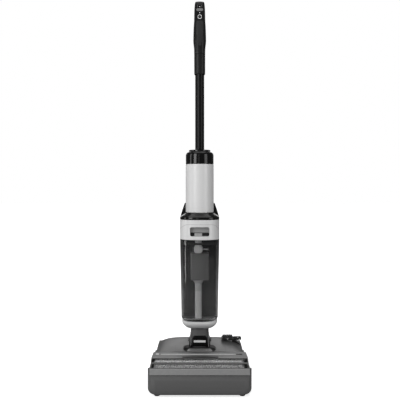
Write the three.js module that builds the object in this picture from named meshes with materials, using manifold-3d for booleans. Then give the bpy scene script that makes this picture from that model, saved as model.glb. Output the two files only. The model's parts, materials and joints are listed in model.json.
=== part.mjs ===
// Upright cordless wet and dry floor washer, parked on its charging and self-cleaning dock.
// Millimetres, +Z up, front towards -Y. The origin is on the floor, at the middle of the dock's footprint.
import * as THREE from "three";
import { mergeVertices } from "three/addons/utils/BufferGeometryUtils.js";
import Module from "manifold-3d";

const wasm = await Module();
wasm.setup();

// ---------------------------------------------------------------- driving dimensions

const GAP = 0.3; // between pieces that touch on the real machine
const SLIP = 0.4; // round a piece that slides or turns in another

// dock
const DOCK_WIDTH = 280;
const DOCK_DEPTH = 300;
const DOCK_CORNER = 22;
const DOCK_WALL = 3.6;
const DOCK_FRONT_WALL = 9;
const DOCK_LIP_TOP = 79;
const DOCK_CORNER_TOP = 81;
const DOCK_SIDE_TOP = 60;
const DOCK_REAR_TOP = 44;
const DOCK_REAR_DECK = 32;
const DOCK_TRAY = 34; // height of the surface that the floor head stands on
const DOCK_SKIN = 3;
const WELL_FLOOR = 20;
const FOOT_HEIGHT = 4.7;
const FOOT_RADIUS = 9;
const FOOT_INSET_X = 25;
const FOOT_INSET_Y = 26;
const BASE_PLATE = 2.7;
const LIP_HEIGHT = 16;
const LIP_THICKNESS = 6;
const CHARGE_POST_WIDTH = 50;
const CHARGE_POST_HEIGHT = 13;
const INLET_RADIUS = 6.5;
const INLET_X = -70;
const INLET_Z = 28;

// floor head
const HEAD_SIDE_CLEARANCE = 4.9;
const HEAD_REACH = 147; // from the roller's axis back to the axis of the body
const NOSE_GAP = 3.4;
const HEAD_REAR = 72; // from the body's axis to the back of the head
const HEAD_FLOOR_GAP = 3;
const HEAD_SKIN = 3;
const CHASSIS_HEIGHT = 47;
const TOP_STEP = 5.5; // from the roller cover's cheek in to the side of the top cover
const TOP_RISE = 20;
const TOP_DROP = 18;
const CHEEK_WALL = 2.5;
const ARM_WALL = 3.6;
const BELT_PLATE = 1.5;
const BELT_WIDTH = 3.4;
const DRIVE_ARM_WALL = 2.2;

// roller and its cover
const ROLLER_RADIUS = 29;
const ROLLER_LIFT = 1;
const CORE_RADIUS = 21;
const CORE_WALL = 4;
const END_CAP_RADIUS = 24;
const SHAFT_RADIUS = 4;
const PILE_CLEARANCE = 3; // from the roller's pile to the hood over it
const HOOD_WALL = 2.5;
const BAR_STAND = 2; // how far the front bar stands out beyond the hood
const BAR_WALL = 5;
const BAR_LOW_ANGLE = 33; // above the roller's axis, seen from the side
const BAR_HIGH_ANGLE = 50;
const WINDOW_WALL = 1.2;

// roller drive
const MOTOR_BACK = 77; // from the roller's axis to the motor's axis
const ROLLER_PULLEY_RADIUS = 12;
const MOTOR_PULLEY_RADIUS = 6.5;
const BELT_THICKNESS = 1.6;
const DRIVE_MOTOR_RADIUS = 15;
const DRIVE_MOTOR_LENGTH = 56;

// wheels
const WHEEL_RADIUS = 26;
const WHEEL_WIDTH = 18;
const WHEEL_X = 62;
const WHEEL_BEHIND = 46; // from the body's axis to the wheels' axis
const AXLE_RADIUS = 3.2;

// cleaning tool, clipped to the shoulder of the head
const TOOL_INSET = 43; // from the side of the head to the middle of the brush
const TOOL_BELLY = 22;
const TOOL_RING_RADIUS = 10;
const BRUSH_WIDTH = 36;

// neck
const PIVOT_BEHIND = 14; // from the body's axis to the recline axis
const PIVOT_RISE = 40; // above the dock's tray
const BOSS_RADIUS = 23;
const NECK_WIDTH = 54;
const NECK_DEPTH = 50;
const NECK_LENGTH = 63.5; // from the recline axis to the swivel face
const TRUNNION_RADIUS = 6;
const TRUNNION_LENGTH = 12;
const NECK_BORE = 13;
const HOSE_WALL = 2;

// body
const CUP_HEIGHT = 25;
const CUP_BOTTOM_WIDTH = 72;
const BODY_HALF_WIDTH = 58;
const BODY_FRONT = 58; // from the body's axis to the front of the tank
const TANK_BACK = 12; // from the body's axis to the flat back of the tank
const TANK_HEIGHT = 237.6;
const TANK_BOTTOM_HALF_WIDTH = 53;
const TANK_WALL = 2.5;
const LID_HEIGHT = 66;
const RECESS_WIDTH = 56;
const RECESS_HEIGHT = 27;
const RECESS_DEPTH = 20;
const RECESS_RISE = 18.7; // from the lid's lower edge to the recess
const SPINE_DEPTH = 30;
const SPINE_HALF_WIDTH = 52;
const SPINE_WALL = 3;
const SHOULDER_HEIGHT = 20;
const WING_HEIGHT = 27;
const TUBE_RADIUS = 41.5;
const TUBE_LENGTH = 142;
const TUBE_WALL = 3;
const CAP_HEIGHT = 42;

// inside the tank
const INNER_TUBE_RADIUS = 10;
const INNER_TUBE_WALL = 2;
const INNER_TUBE_X = -4;
const FILTER_WIDTH = 53;
const FILTER_DEPTH = 36;
const FILTER_HEIGHT = 79;
const FILTER_RISE = 125; // from the tank's bottom to the filter's
const FLOAT_HEIGHT = 12;
const FLOAT_TRAVEL = 8;

// clean water tank
const CLEAN_HALF_WIDTH = 50;
const CLEAN_DEPTH = 36;
const CLEAN_HEIGHT = 262;
const CLEAN_WALL = 2.5;
const FILL_RADIUS = 11;
const FILL_DROP = 38; // from the tank's top to the filler's axis

// inside the body
const FAN_MOTOR_RADIUS = 30;
const FAN_MOTOR_HEIGHT = 42;
const IMPELLER_RADIUS = 28;
const IMPELLER_HEIGHT = 10;
const BATTERY_WIDTH = 48;
const BATTERY_HEIGHT = 60;

// pole and handle
const POLE_RADIUS = 13.5;
const POLE_WALL = 1.6;
const POLE_INSET = 10; // from the back of the cap to the pole
const POLE_DEPTH_IN_CAP = 30;
const SOCKET_WALL = 3;
const RELEASE_TRAVEL = 1.5;
const POLE_VISIBLE = 226;
const SLEEVE_LENGTH = 60;
const SLEEVE_WIDTH = 33;
const GRIP_LENGTH = 160;
const GRIP_WALL = 4.2;
const BUTTON_TRAVEL = 1.2;

// ---------------------------------------------------------------- derived places

const hoodRadius = ROLLER_RADIUS + PILE_CLEARANCE + HOOD_WALL;
const barRadius = hoodRadius + BAR_STAND;
const barReach = barRadius * Math.cos(THREE.MathUtils.degToRad(BAR_LOW_ANGLE));
const cheekRadius = ROLLER_RADIUS + PILE_CLEARANCE + 0.5;
const noseReach = Math.max(barReach, cheekRadius - 1.9);
const rollerY = -DOCK_DEPTH / 2 + DOCK_FRONT_WALL + NOSE_GAP + noseReach;
const rollerZ = DOCK_TRAY + ROLLER_LIFT + ROLLER_RADIUS;
const bodyY = rollerY + HEAD_REACH;
const cheekOut = DOCK_WIDTH / 2 - DOCK_WALL - HEAD_SIDE_CLEARANCE;
const cheekIn = cheekOut - CHEEK_WALL;
const topHalfWidth = cheekOut - TOP_STEP;
const armOut = cheekIn - GAP;
const leftArmIn = -(armOut - ARM_WALL);
const beltOut = armOut - BELT_PLATE - GAP;
const beltIn = beltOut - BELT_WIDTH;
const driveArmOut = beltIn - GAP;
const driveArmIn = driveArmOut - DRIVE_ARM_WALL;
const rollerLeft = leftArmIn + 3.1;
const rollerRight = driveArmIn - 2.2;
const chassisBottom = DOCK_TRAY + HEAD_FLOOR_GAP;
const chassisTop = chassisBottom + CHASSIS_HEIGHT;
const chassisFront = rollerY + ROLLER_RADIUS + 16;
const headBack = bodyY + HEAD_REAR;
const motorY = rollerY + MOTOR_BACK;
const motorZ = rollerZ - 2;
const wheelY = bodyY + WHEEL_BEHIND;
const wheelZ = DOCK_TRAY + GAP + WHEEL_RADIUS;
const pivotY = bodyY + PIVOT_BEHIND;
const pivotZ = DOCK_TRAY + PIVOT_RISE;
const neckTop = pivotZ + NECK_LENGTH;
const cupBottom = neckTop + GAP;
const cupTop = cupBottom + CUP_HEIGHT;
const tankBottom = cupTop + GAP;
const tankTop = tankBottom + TANK_HEIGHT;
const lidBottom = tankTop + GAP;
const lidTop = lidBottom + LID_HEIGHT;
const shoulderBottom = lidTop + GAP;
const shoulderTop = shoulderBottom + SHOULDER_HEIGHT;
const tubeBottom = shoulderTop + GAP;
const tubeTop = tubeBottom + TUBE_LENGTH;
const capBottom = tubeTop + GAP;
const capTop = capBottom + CAP_HEIGHT;
const poleY = bodyY + TUBE_RADIUS - POLE_INSET - POLE_RADIUS;
const poleBottom = capTop - POLE_DEPTH_IN_CAP;
const sleeveBottom = capTop + POLE_VISIBLE;
const sleeveTop = sleeveBottom + SLEEVE_LENGTH;
const gripBottom = sleeveTop + GAP;
const gripTop = gripBottom + GRIP_LENGTH;
const tankBackY = bodyY + TANK_BACK;
const spineFront = tankBackY + GAP;
const spineBack = spineFront + SPINE_DEPTH;

const toolX = topHalfWidth - TOOL_INSET;
const toolY = bodyY + 5;
const toolBottom = chassisTop + TOP_RISE + 1.6;

// ---------------------------------------------------------------- solids

// Turns triangles into a solid whose faces point outwards.
function solidFrom(vertProperties, triVerts) {
  const made = new wasm.Manifold(new wasm.Mesh({ numProp: 3, vertProperties, triVerts }));
  if (made.volume() > 0) return made;
  for (let i = 0; i < triVerts.length; i += 3) {
    [triVerts[i + 1], triVerts[i + 2]] = [triVerts[i + 2], triVerts[i + 1]];
  }
  return new wasm.Manifold(new wasm.Mesh({ numProp: 3, vertProperties, triVerts }));
}

function solidOf(geometry) {
  const bare = geometry.clone();
  bare.deleteAttribute("normal");
  bare.deleteAttribute("uv");
  const merged = mergeVertices(bare, 1e-4);
  return solidFrom(merged.attributes.position.array, new Uint32Array(merged.index.array));
}

function geometryOf(made) {
  const mesh = made.getMesh();
  const geometry = new THREE.BufferGeometry();
  geometry.setAttribute("position", new THREE.BufferAttribute(mesh.vertProperties, 3));
  geometry.setIndex(new THREE.BufferAttribute(mesh.triVerts, 1));
  geometry.computeVertexNormals();
  return geometry;
}

const joined = (first, ...others) => others.reduce((made, other) => made.add(other), first);
const without = (first, ...others) => others.reduce((made, other) => made.subtract(other), first);

function box(x0, x1, y0, y1, z0, z1) {
  const geometry = new THREE.BoxGeometry(x1 - x0, y1 - y0, z1 - z0);
  return solidOf(geometry.translate((x0 + x1) / 2, (y0 + y1) / 2, (z0 + z1) / 2));
}

// An outline pushed along an axis. X takes (y, z) points, Y takes (x, z) and Z takes (x, y).
function prism(outline, axis, from, to) {
  const shape = new THREE.Shape(outline.map(([u, v]) => new THREE.Vector2(u, v)));
  const geometry = new THREE.ExtrudeGeometry(shape, { depth: to - from, bevelEnabled: false });
  const place = new THREE.Matrix4();
  const [x, y, z] = [new THREE.Vector3(1, 0, 0), new THREE.Vector3(0, 1, 0), new THREE.Vector3(0, 0, 1)];
  if (axis === "X") place.makeBasis(y, z, x).setPosition(from, 0, 0);
  if (axis === "Y") place.makeBasis(x, z, y.clone().negate()).setPosition(0, to, 0);
  if (axis === "Z") place.setPosition(0, 0, from);
  return solidOf(geometry.applyMatrix4(place));
}

// A solid through rings of points that all have the same count; each ring is convex and flat.
function loft(rings) {
  const count = rings[0].length;
  const index = [];
  for (let ring = 0; ring + 1 < rings.length; ring++) {
    for (let i = 0; i < count; i++) {
      const next = (i + 1) % count;
      const [a, b] = [ring * count + i, ring * count + next];
      index.push(a, b, b + count, a, b + count, a + count);
    }
  }
  const last = (rings.length - 1) * count;
  for (let i = 1; i + 1 < count; i++) {
    index.push(0, i + 1, i, last, last + i, last + i + 1);
  }
  return solidFrom(new Float32Array(rings.flat(2)), new Uint32Array(index));
}

function arc(cu, cv, radius, from, to, steps) {
  const points = [];
  for (let i = 0; i <= steps; i++) {
    const angle = THREE.MathUtils.degToRad(from + ((to - from) * i) / steps);
    points.push([cu + radius * Math.cos(angle), cv + radius * Math.sin(angle)]);
  }
  return points;
}

const circle = (cu, cv, radius, sides = 24) => arc(cu, cv, radius, 0, 360 - 360 / sides, sides - 1);

function roundedRectangle(cu, cv, width, height, radius, steps = 4) {
  const [u, v] = [width / 2 - radius, height / 2 - radius];
  return [
    ...arc(cu + u, cv + v, radius, 0, 90, steps),
    ...arc(cu - u, cv + v, radius, 90, 180, steps),
    ...arc(cu - u, cv - v, radius, 180, 270, steps),
    ...arc(cu + u, cv - v, radius, 270, 360, steps),
  ];
}

const rod = (axis, u, v, radius, from, to, sides) => prism(circle(u, v, radius, sides), axis, from, to);
const atHeight = (outline, z) => outline.map(([x, y]) => [x, y, z]);

// The smallest convex outline round some points, counter-clockwise.
function hull(points) {
  const sorted = [...points].sort((a, b) => a[0] - b[0] || a[1] - b[1]);
  const cross = (o, a, b) => (a[0] - o[0]) * (b[1] - o[1]) - (a[1] - o[1]) * (b[0] - o[0]);
  const half = (list) => {
    const chain = [];
    for (const p of list) {
      while (chain.length > 1 && cross(chain.at(-2), chain.at(-1), p) <= 1e-6) chain.pop();
      chain.push(p);
    }
    return chain.slice(0, -1);
  };
  return [...half(sorted), ...half(sorted.reverse())];
}

// ---------------------------------------------------------------- finishes and groups

const FINISHES = {
  whitePlastic: { color: 0xd6d6d6, roughness: 0.42, metalness: 0 },
  blackGloss: { color: 0x0c0c0c, roughness: 0.12, metalness: 0 },
  blackPlastic: { color: 0x1b1b1b, roughness: 0.5, metalness: 0 },
  headPlastic: { color: 0x4a4a4a, roughness: 0.3, metalness: 0 },
  dockPlastic: { color: 0x505050, roughness: 0.45, metalness: 0 },
  lipPlastic: { color: 0x868686, roughness: 0.4, metalness: 0 },
  lightPlastic: { color: 0xa6a6a6, roughness: 0.45, metalness: 0 },
  smokedClear: { color: 0x3a3a3a, roughness: 0.08, metalness: 0 },
  clear: { color: 0xb0b0b0, roughness: 0.08, metalness: 0 },
  rubber: { color: 0x141414, roughness: 0.8, metalness: 0 },
  rollerPile: { color: 0x858585, roughness: 0.95, metalness: 0 },
  blackPole: { color: 0x1a1a1c, roughness: 0.35, metalness: 0.6 },
  steel: { color: 0xb8b8b8, roughness: 0.35, metalness: 1 },
};

const machine = new THREE.Group();

function group(parent) {
  const made = new THREE.Group();
  parent.add(made);
  return made;
}

function piece(parent, name, made, finish) {
  const mesh = new THREE.Mesh(geometryOf(made), new THREE.MeshStandardMaterial(FINISHES[finish]));
  mesh.name = name;
  parent.add(mesh);
}

// ---------------------------------------------------------------- dock

const dock = group(machine);
const shellBottom = FOOT_HEIGHT + GAP + BASE_PLATE + GAP;
const dockHalf = DOCK_WIDTH / 2;
const dockFront = -DOCK_DEPTH / 2;
const dockBack = DOCK_DEPTH / 2;
const trayFront = dockFront + DOCK_FRONT_WALL;
const trayBack = dockBack - DOCK_REAR_DECK;
const wellBack = rollerY + ROLLER_RADIUS + 8;

function dockRing(inset, z) {
  const radius = DOCK_CORNER - inset / 2;
  return atHeight(roundedRectangle(0, 0, DOCK_WIDTH - 2 * inset, DOCK_DEPTH - 2 * inset, radius), z);
}

function dockShell() {
  const outside = loft([
    dockRing(11, shellBottom),
    dockRing(5.5, shellBottom + 3),
    dockRing(1.5, shellBottom + 9),
    dockRing(0, shellBottom + 17),
    dockRing(0, DOCK_CORNER_TOP),
  ]);
  const high = DOCK_CORNER_TOP + 10;
  const aboveSides = [
    [dockFront - 1, DOCK_CORNER_TOP],
    [trayFront, DOCK_CORNER_TOP],
    [trayFront + 8, DOCK_CORNER_TOP - 5],
    [rollerY + 12, DOCK_SIDE_TOP + 3],
    [rollerY + 32, DOCK_SIDE_TOP],
    [bodyY + 8, DOCK_SIDE_TOP],
    [bodyY + 24, DOCK_SIDE_TOP - 5],
    [bodyY + 38, DOCK_REAR_TOP],
    [dockBack + 1, DOCK_REAR_TOP],
    [dockBack + 1, high],
    [dockFront - 1, high],
  ];
  const inner = dockHalf - DOCK_WALL;
  const pocketWidth = 2 * inner;
  const pocket = roundedRectangle(0, (trayFront + trayBack) / 2, pocketWidth, trayBack - trayFront, 8, 3);
  const wellWidth = inner - 5;
  const hollow = dockHalf - 26;
  const skinned = (z) => z - DOCK_SKIN;
  return without(
    outside,
    prism(aboveSides, "X", -dockHalf - 1, dockHalf + 1),
    prism(pocket, "Z", DOCK_TRAY, high),
    box(-wellWidth, wellWidth, trayFront, wellBack, WELL_FLOOR, high),
    // rebate for the front lip, which stops short of the tall front corners
    box(-lipHalf - GAP, lipHalf + GAP, dockFront - 1, dockFront + LIP_THICKNESS + GAP, lipBottom - GAP, high),
    // hollow underside
    box(-hollow, hollow, dockFront + 22, wellBack, shellBottom - 1, skinned(WELL_FLOOR)),
    box(-hollow, hollow, wellBack + DOCK_SKIN, dockBack - 12, shellBottom - 1, skinned(DOCK_TRAY)),
    rod("Y", INLET_X, INLET_Z, INLET_RADIUS + GAP, dockBack - 20, dockBack + 1, 16),
  );
}

const lipHalf = dockHalf - 4;
const lipBottom = DOCK_LIP_TOP - LIP_HEIGHT;
const lipBack = dockFront + LIP_THICKNESS;
const lipProfile = [
  [dockFront, lipBottom],
  [lipBack, lipBottom],
  [lipBack, DOCK_LIP_TOP],
  [dockFront + 4.5, DOCK_LIP_TOP],
  [dockFront + 3.4, DOCK_LIP_TOP - 1.2],
];
piece(dock, "dock_shell", dockShell(), "dockPlastic");
piece(dock, "dock_front_lip", prism(lipProfile, "X", -lipHalf, lipHalf), "lipPlastic");

const basePlateOutline = roundedRectangle(0, 0, DOCK_WIDTH - 32, DOCK_DEPTH - 32, 18);
const basePlateBottom = FOOT_HEIGHT + GAP;
piece(
  dock,
  "dock_base_plate",
  prism(basePlateOutline, "Z", basePlateBottom, basePlateBottom + BASE_PLATE),
  "blackPlastic",
);
for (const [side, x] of [["left", -1], ["right", 1]]) {
  for (const [end, y] of [["front", -1], ["rear", 1]]) {
    const footX = x * (dockHalf - FOOT_INSET_X);
    const footY = y * (DOCK_DEPTH / 2 - FOOT_INSET_Y);
    piece(dock, `dock_foot_${end}_${side}`, rod("Z", footX, footY, FOOT_RADIUS, 0, FOOT_HEIGHT, 16), "rubber");
  }
}

function chargePost() {
  const half = CHARGE_POST_WIDTH / 2;
  const bottom = DOCK_REAR_TOP + GAP;
  const top = bottom + CHARGE_POST_HEIGHT;
  const [front, back] = [trayBack + 4, dockBack - 4];
  const profile = [
    [front, bottom],
    [back, bottom],
    [back, top - 5],
    [back - 4, top],
    [front + 3, top],
    [front, top - 3],
  ];
  const contacts = [-1, 1].map((side) => rod("Y", side * 12, bottom + 6, 2.4, front - 2.5, front + 1, 12));
  return joined(prism(profile, "X", -half, half), ...contacts);
}
piece(dock, "dock_charge_post", chargePost(), "blackPlastic");

const inletSocket = without(
  rod("Y", INLET_X, INLET_Z, INLET_RADIUS, dockBack - 12, dockBack - 0.4, 16),
  rod("Y", INLET_X, INLET_Z, INLET_RADIUS - 3, dockBack - 9, dockBack + 1, 16),
);
const inletPin = rod("Y", INLET_X, INLET_Z, 1, dockBack - 10, dockBack - 2, 8);
piece(dock, "dock_power_inlet", joined(inletSocket, inletPin), "blackPlastic");

// ---------------------------------------------------------------- floor head

const head = group(machine);
const slotHalf = NECK_WIDTH / 2 + 4;

function wheelWell(side, clear) {
  const half = WHEEL_WIDTH / 2 + clear;
  const reach = WHEEL_RADIUS + clear;
  const [x0, x1] = [side * WHEEL_X - half, side * WHEEL_X + half];
  return box(x0, x1, wheelY - reach, headBack + 5, chassisBottom - 5, wheelZ + reach);
}

function headChassis() {
  const half = topHalfWidth - 0.5;
  const rear = [
    [chassisFront, chassisBottom + 1],
    [chassisFront + 10, chassisBottom],
    [bodyY + 30, chassisBottom],
    [headBack - 6, chassisBottom + 14],
    [headBack - 4, chassisTop],
    [chassisFront, chassisTop],
  ];
  const armTop = rollerZ + 17;
  const mouthHalf = topHalfWidth - 31;
  const arm = [
    [chassisFront + 8, chassisBottom + 4],
    [chassisFront + 8, armTop],
    [rollerY + 4, armTop],
    ...arc(rollerY, rollerZ, 17, 90, 230, 7),
    [rollerY + 24, chassisBottom + 4],
  ];
  const leftArm = prism(arm, "X", -armOut, leftArmIn);
  const rightArm = prism(arm, "X", driveArmIn, driveArmOut);
  const cavity = box(
    -half + HEAD_SKIN,
    driveArmIn - 1,
    chassisFront + HEAD_SKIN,
    headBack - 12,
    chassisBottom + HEAD_SKIN,
    chassisTop + 1,
  );
  const ribs = [];
  const wells = [];
  const axleHoles = [];
  for (const side of [-1, 1]) {
    const wide = WHEEL_WIDTH / 2 + SLIP + 1;
    const outer = side * (WHEEL_X + wide + HEAD_SKIN);
    const inner = side * (WHEEL_X - wide - HEAD_SKIN);
    const [x0, x1] = [Math.min(outer, inner), Math.max(outer, inner)];
    const ribFront = wheelY - WHEEL_RADIUS - SLIP - 1 - HEAD_SKIN;
    ribs.push(box(x0, x1, ribFront, headBack - 10, chassisBottom + 1, chassisTop - 4));
    wells.push(wheelWell(side, SLIP + 1));
    axleHoles.push(rod("X", wheelY, wheelZ, AXLE_RADIUS + SLIP, x0 - 1, x1 + 1, 16));
    // bearing blocks for the neck's trunnions
    const near = side * (slotHalf - 0.2);
    const far = side * (slotHalf + TRUNNION_LENGTH - 3);
    const [b0, b1] = [Math.min(near, far), Math.max(near, far)];
    ribs.push(box(b0, b1, pivotY - 13, pivotY + 13, chassisBottom + 1, pivotZ + 10));
    axleHoles.push(rod("X", pivotY, pivotZ, TRUNNION_RADIUS + SLIP, b0 - 1, b1 + 1, 24));
  }
  const tub = without(prism(rear, "X", -half, half), cavity);
  const bearingHoles = [
    rod("X", rollerY, rollerZ, SHAFT_RADIUS + SLIP, -armOut - 1, leftArmIn + 1, 16),
    rod("X", rollerY, rollerZ, SHAFT_RADIUS + SLIP, driveArmIn - 1, driveArmOut + 1, 16),
    rod("X", motorY, motorZ, 3 + SLIP, driveArmIn - 8, driveArmOut + 1, 16),
  ];
  return without(
    joined(tub, leftArm, rightArm, ...ribs),
    ...wells,
    ...axleHoles,
    ...bearingHoles,
    // the belt runs beside the right wall
    box(driveArmOut, half + 10, chassisFront - 1, motorY + 22, chassisBottom - 5, chassisTop + 5),
    // slot that the neck reclines through
    box(-slotHalf, slotHalf, bodyY - 22, headBack + 5, chassisBottom + 8, chassisTop + 5),
    // suction mouth behind the roller
    box(-mouthHalf, mouthHalf, chassisFront - 1, chassisFront + HEAD_SKIN + 1, chassisBottom + 4, chassisBottom + 15),
  );
}
piece(head, "head_chassis", headChassis(), "headPlastic");

// The top cover's height along its middle, from the front edge to the back.
const coverFront = rollerY + 67;
const coverLine = [
  [coverFront, TOP_RISE - 10.4],
  [coverFront + 22, TOP_RISE - 6.6],
  [bodyY - 20, TOP_RISE - 2.6],
  [bodyY + 8, TOP_RISE - 0.4],
  [bodyY + 26, TOP_RISE - 0.4],
  [bodyY + 48, TOP_RISE - 3.5],
  [bodyY + 64, TOP_RISE - 10],
  [headBack, TOP_RISE - 16],
];

function coverRing([y, rise], inset, bottom) {
  const half = topHalfWidth - inset - Math.max(0, y - bodyY - 40) * 0.25;
  const top = chassisTop + rise - inset;
  const shares = [1, 0.97, 0.9, 0.78, 0.6, 0.3, 0, -0.3, -0.6, -0.78, -0.9, -0.97, -1];
  const drop = Math.min(TOP_DROP, rise + 0.5);
  const outline = shares.map((share) => [share * half, y, top - drop * Math.abs(share) ** 6]);
  return [[half, y, bottom], ...outline, [-half, y, bottom]];
}

function topCover() {
  const bottom = chassisTop + GAP;
  const outside = loft(coverLine.map((place) => coverRing(place, 0, bottom)));
  const innerLine = coverLine.map(([y, rise], i) => {
    if (i === 0) return [y + HEAD_SKIN, rise];
    return i === coverLine.length - 1 ? [y - HEAD_SKIN, rise] : [y, rise];
  });
  const inside = loft(innerLine.map((place) => coverRing(place, HEAD_SKIN, bottom - 5)));
  const pillCentre = bodyY - 40;
  const pill = roundedRectangle(0, pillCentre, 92, 40, 19, 6);
  const pillFloor = chassisTop + 6;
  const cup = prism(roundedRectangle(0, pillCentre, 97, 45, 21, 6), "Z", pillFloor - 2.5, chassisTop + 12);
  const roof = loft(coverLine.map((place) => coverRing(place, 0.2, bottom - 5)));
  const cradleFloor = chassisTop + TOP_RISE - 7;
  const [cradleHalf, lipWidth] = [TOOL_BELLY / 2 + SLIP, 2.4];
  const cradle = box(
    toolX - cradleHalf - lipWidth,
    toolX + cradleHalf + lipWidth,
    toolY - 9,
    toolY + 9,
    cradleFloor,
    toolBottom + 2,
  ).subtract(box(toolX - cradleHalf, toolX + cradleHalf, toolY - 10, toolY + 10, toolBottom - GAP, toolBottom + 3));
  const wellCuts = [-1, 1].map((side) => wheelWell(side, SLIP + 1));
  return without(
    joined(outside.subtract(inside), cup.intersect(roof), cradle),
    prism(pill, "Z", pillFloor, chassisTop + 40),
    box(-slotHalf, slotHalf, bodyY - 30, headBack + 5, bottom - 5, chassisTop + 40),
    ...wellCuts,
  );
}
piece(head, "head_top_cover", topCover(), "headPlastic");

const ductBottom = chassisBottom + HEAD_SKIN + GAP;
const ductFront = chassisFront + HEAD_SKIN + GAP;
const suctionDuct = without(
  box(-22, 22, ductFront, bodyY - 23, ductBottom, ductBottom + 20),
  box(-19.5, 19.5, ductFront - 1, bodyY - 22, ductBottom + 2, ductBottom + 18),
);
piece(head, "suction_duct", suctionDuct, "blackPlastic");

const bladeZ = rollerZ - 8;
const bladeHalf = topHalfWidth - 14;
piece(
  head,
  "wiper_blade",
  box(-bladeHalf, bladeHalf, rollerY + ROLLER_RADIUS + 0.8, chassisFront - GAP, bladeZ, bladeZ + 2.5),
  "rubber",
);
piece(
  head,
  "spray_bar",
  box(-bladeHalf + 4, bladeHalf - 4, chassisFront - 9, chassisFront - GAP, chassisTop - 9, chassisTop - 1),
  "blackPlastic",
);

const driveMotorEnd = driveArmIn - 1 - GAP;
piece(
  head,
  "roller_motor",
  rod("X", motorY, motorZ, DRIVE_MOTOR_RADIUS, driveMotorEnd - DRIVE_MOTOR_LENGTH, driveMotorEnd - 3, 24),
  "steel",
);

function beltLoop(extra) {
  return hull([
    ...circle(rollerY, rollerZ, ROLLER_PULLEY_RADIUS + extra, 24),
    ...circle(motorY, motorZ, MOTOR_PULLEY_RADIUS + extra, 24),
  ]);
}
const driveBelt = without(
  prism(beltLoop(SLIP + BELT_THICKNESS), "X", beltIn + 0.2, beltOut - 0.2),
  prism(beltLoop(SLIP), "X", beltIn - 1, beltOut + 1),
);
piece(head, "drive_belt", driveBelt, "rubber");
const beltRoom = SLIP + BELT_THICKNESS + 1;
const beltCover = without(
  prism(beltLoop(beltRoom + 1.4), "X", driveArmOut + GAP, armOut),
  prism(beltLoop(beltRoom), "X", driveArmOut - 1, armOut - BELT_PLATE),
);
piece(head, "belt_cover", beltCover, "blackPlastic");

// rear wheels, each turning on its own stub axles
for (const [name, side] of [["rear_wheel_left", -1], ["rear_wheel_right", 1]]) {
  const x = side * WHEEL_X;
  const half = WHEEL_WIDTH / 2;
  const stub = half + SLIP + 1 + HEAD_SKIN - 0.6;
  const tread = rod("X", wheelY, wheelZ, WHEEL_RADIUS, x - half, x + half, 28);
  const axle = rod("X", wheelY, wheelZ, AXLE_RADIUS, x - stub, x + stub, 16);
  const dishes = [-1, 1].map((face) => {
    const [x0, x1] = [x + face * (half - 3), x + face * (half + 1)];
    const ring = rod("X", wheelY, wheelZ, WHEEL_RADIUS - 7, Math.min(x0, x1), Math.max(x0, x1), 24);
    return ring.subtract(rod("X", wheelY, wheelZ, 8, Math.min(x0, x1) - 1, Math.max(x0, x1) + 1, 16));
  });
  piece(group(machine), name, joined(without(tread, ...dishes), axle), "rubber");
}

// ---------------------------------------------------------------- roller

const roller = group(machine);
const alongRoller = (radius, from, to, sides) => rod("X", rollerY, rollerZ, radius, from, to, sides);
piece(
  roller,
  "roller_core",
  without(
    alongRoller(CORE_RADIUS, rollerLeft, rollerRight, 24),
    alongRoller(CORE_RADIUS - CORE_WALL, rollerLeft - 1, rollerRight + 1, 24),
  ),
  "blackPlastic",
);
piece(
  roller,
  "roller_fabric",
  without(
    alongRoller(ROLLER_RADIUS, rollerLeft, rollerRight, 36),
    alongRoller(CORE_RADIUS + GAP, rollerLeft - 1, rollerRight + 1, 24),
  ),
  "rollerPile",
);
const plugRadius = CORE_RADIUS - CORE_WALL - SLIP;
piece(
  roller,
  "roller_end_cap",
  joined(
    alongRoller(plugRadius, rollerLeft - GAP - 0.5, rollerLeft + 9, 24),
    alongRoller(END_CAP_RADIUS, leftArmIn + 0.6, rollerLeft - GAP, 24),
    alongRoller(SHAFT_RADIUS, leftArmIn - ARM_WALL + 0.6, leftArmIn + 1, 16),
  ),
  "lightPlastic",
);
piece(
  roller,
  "roller_drive_hub",
  joined(
    alongRoller(plugRadius, rollerRight - 9, rollerRight + GAP + 0.5, 24),
    alongRoller(END_CAP_RADIUS, rollerRight + GAP, driveArmIn - 0.5, 24),
    alongRoller(SHAFT_RADIUS, driveArmIn - 1, beltIn + 1, 16),
    alongRoller(ROLLER_PULLEY_RADIUS, beltIn + 0.2, beltOut - 0.2, 24),
  ),
  "lightPlastic",
);
piece(
  group(machine),
  "motor_pulley",
  joined(
    rod("X", motorY, motorZ, 3, driveMotorEnd - 2.5, beltIn + 1, 16),
    rod("X", motorY, motorZ, MOTOR_PULLEY_RADIUS, beltIn + 0.2, beltOut - 0.2, 24),
  ),
  "steel",
);

// ---------------------------------------------------------------- roller cover

const cover = group(machine);
const hoodEdge = coverFront - 1.6;
const hoodCrease = rollerY + hoodRadius - 0.5;
const hoodHigh = rollerZ + hoodRadius;

function latchHole(x, width) {
  return prism(roundedRectangle(x, hoodCrease, width, 9, 4.4, 4), "Z", hoodHigh - 15, hoodHigh + 5);
}
const LATCHES = [
  { name: "cover_latch_left", x: -cheekOut + 13.5, width: 9 },
  { name: "cover_latch_right", x: cheekOut - 21, width: 17 },
];

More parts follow.
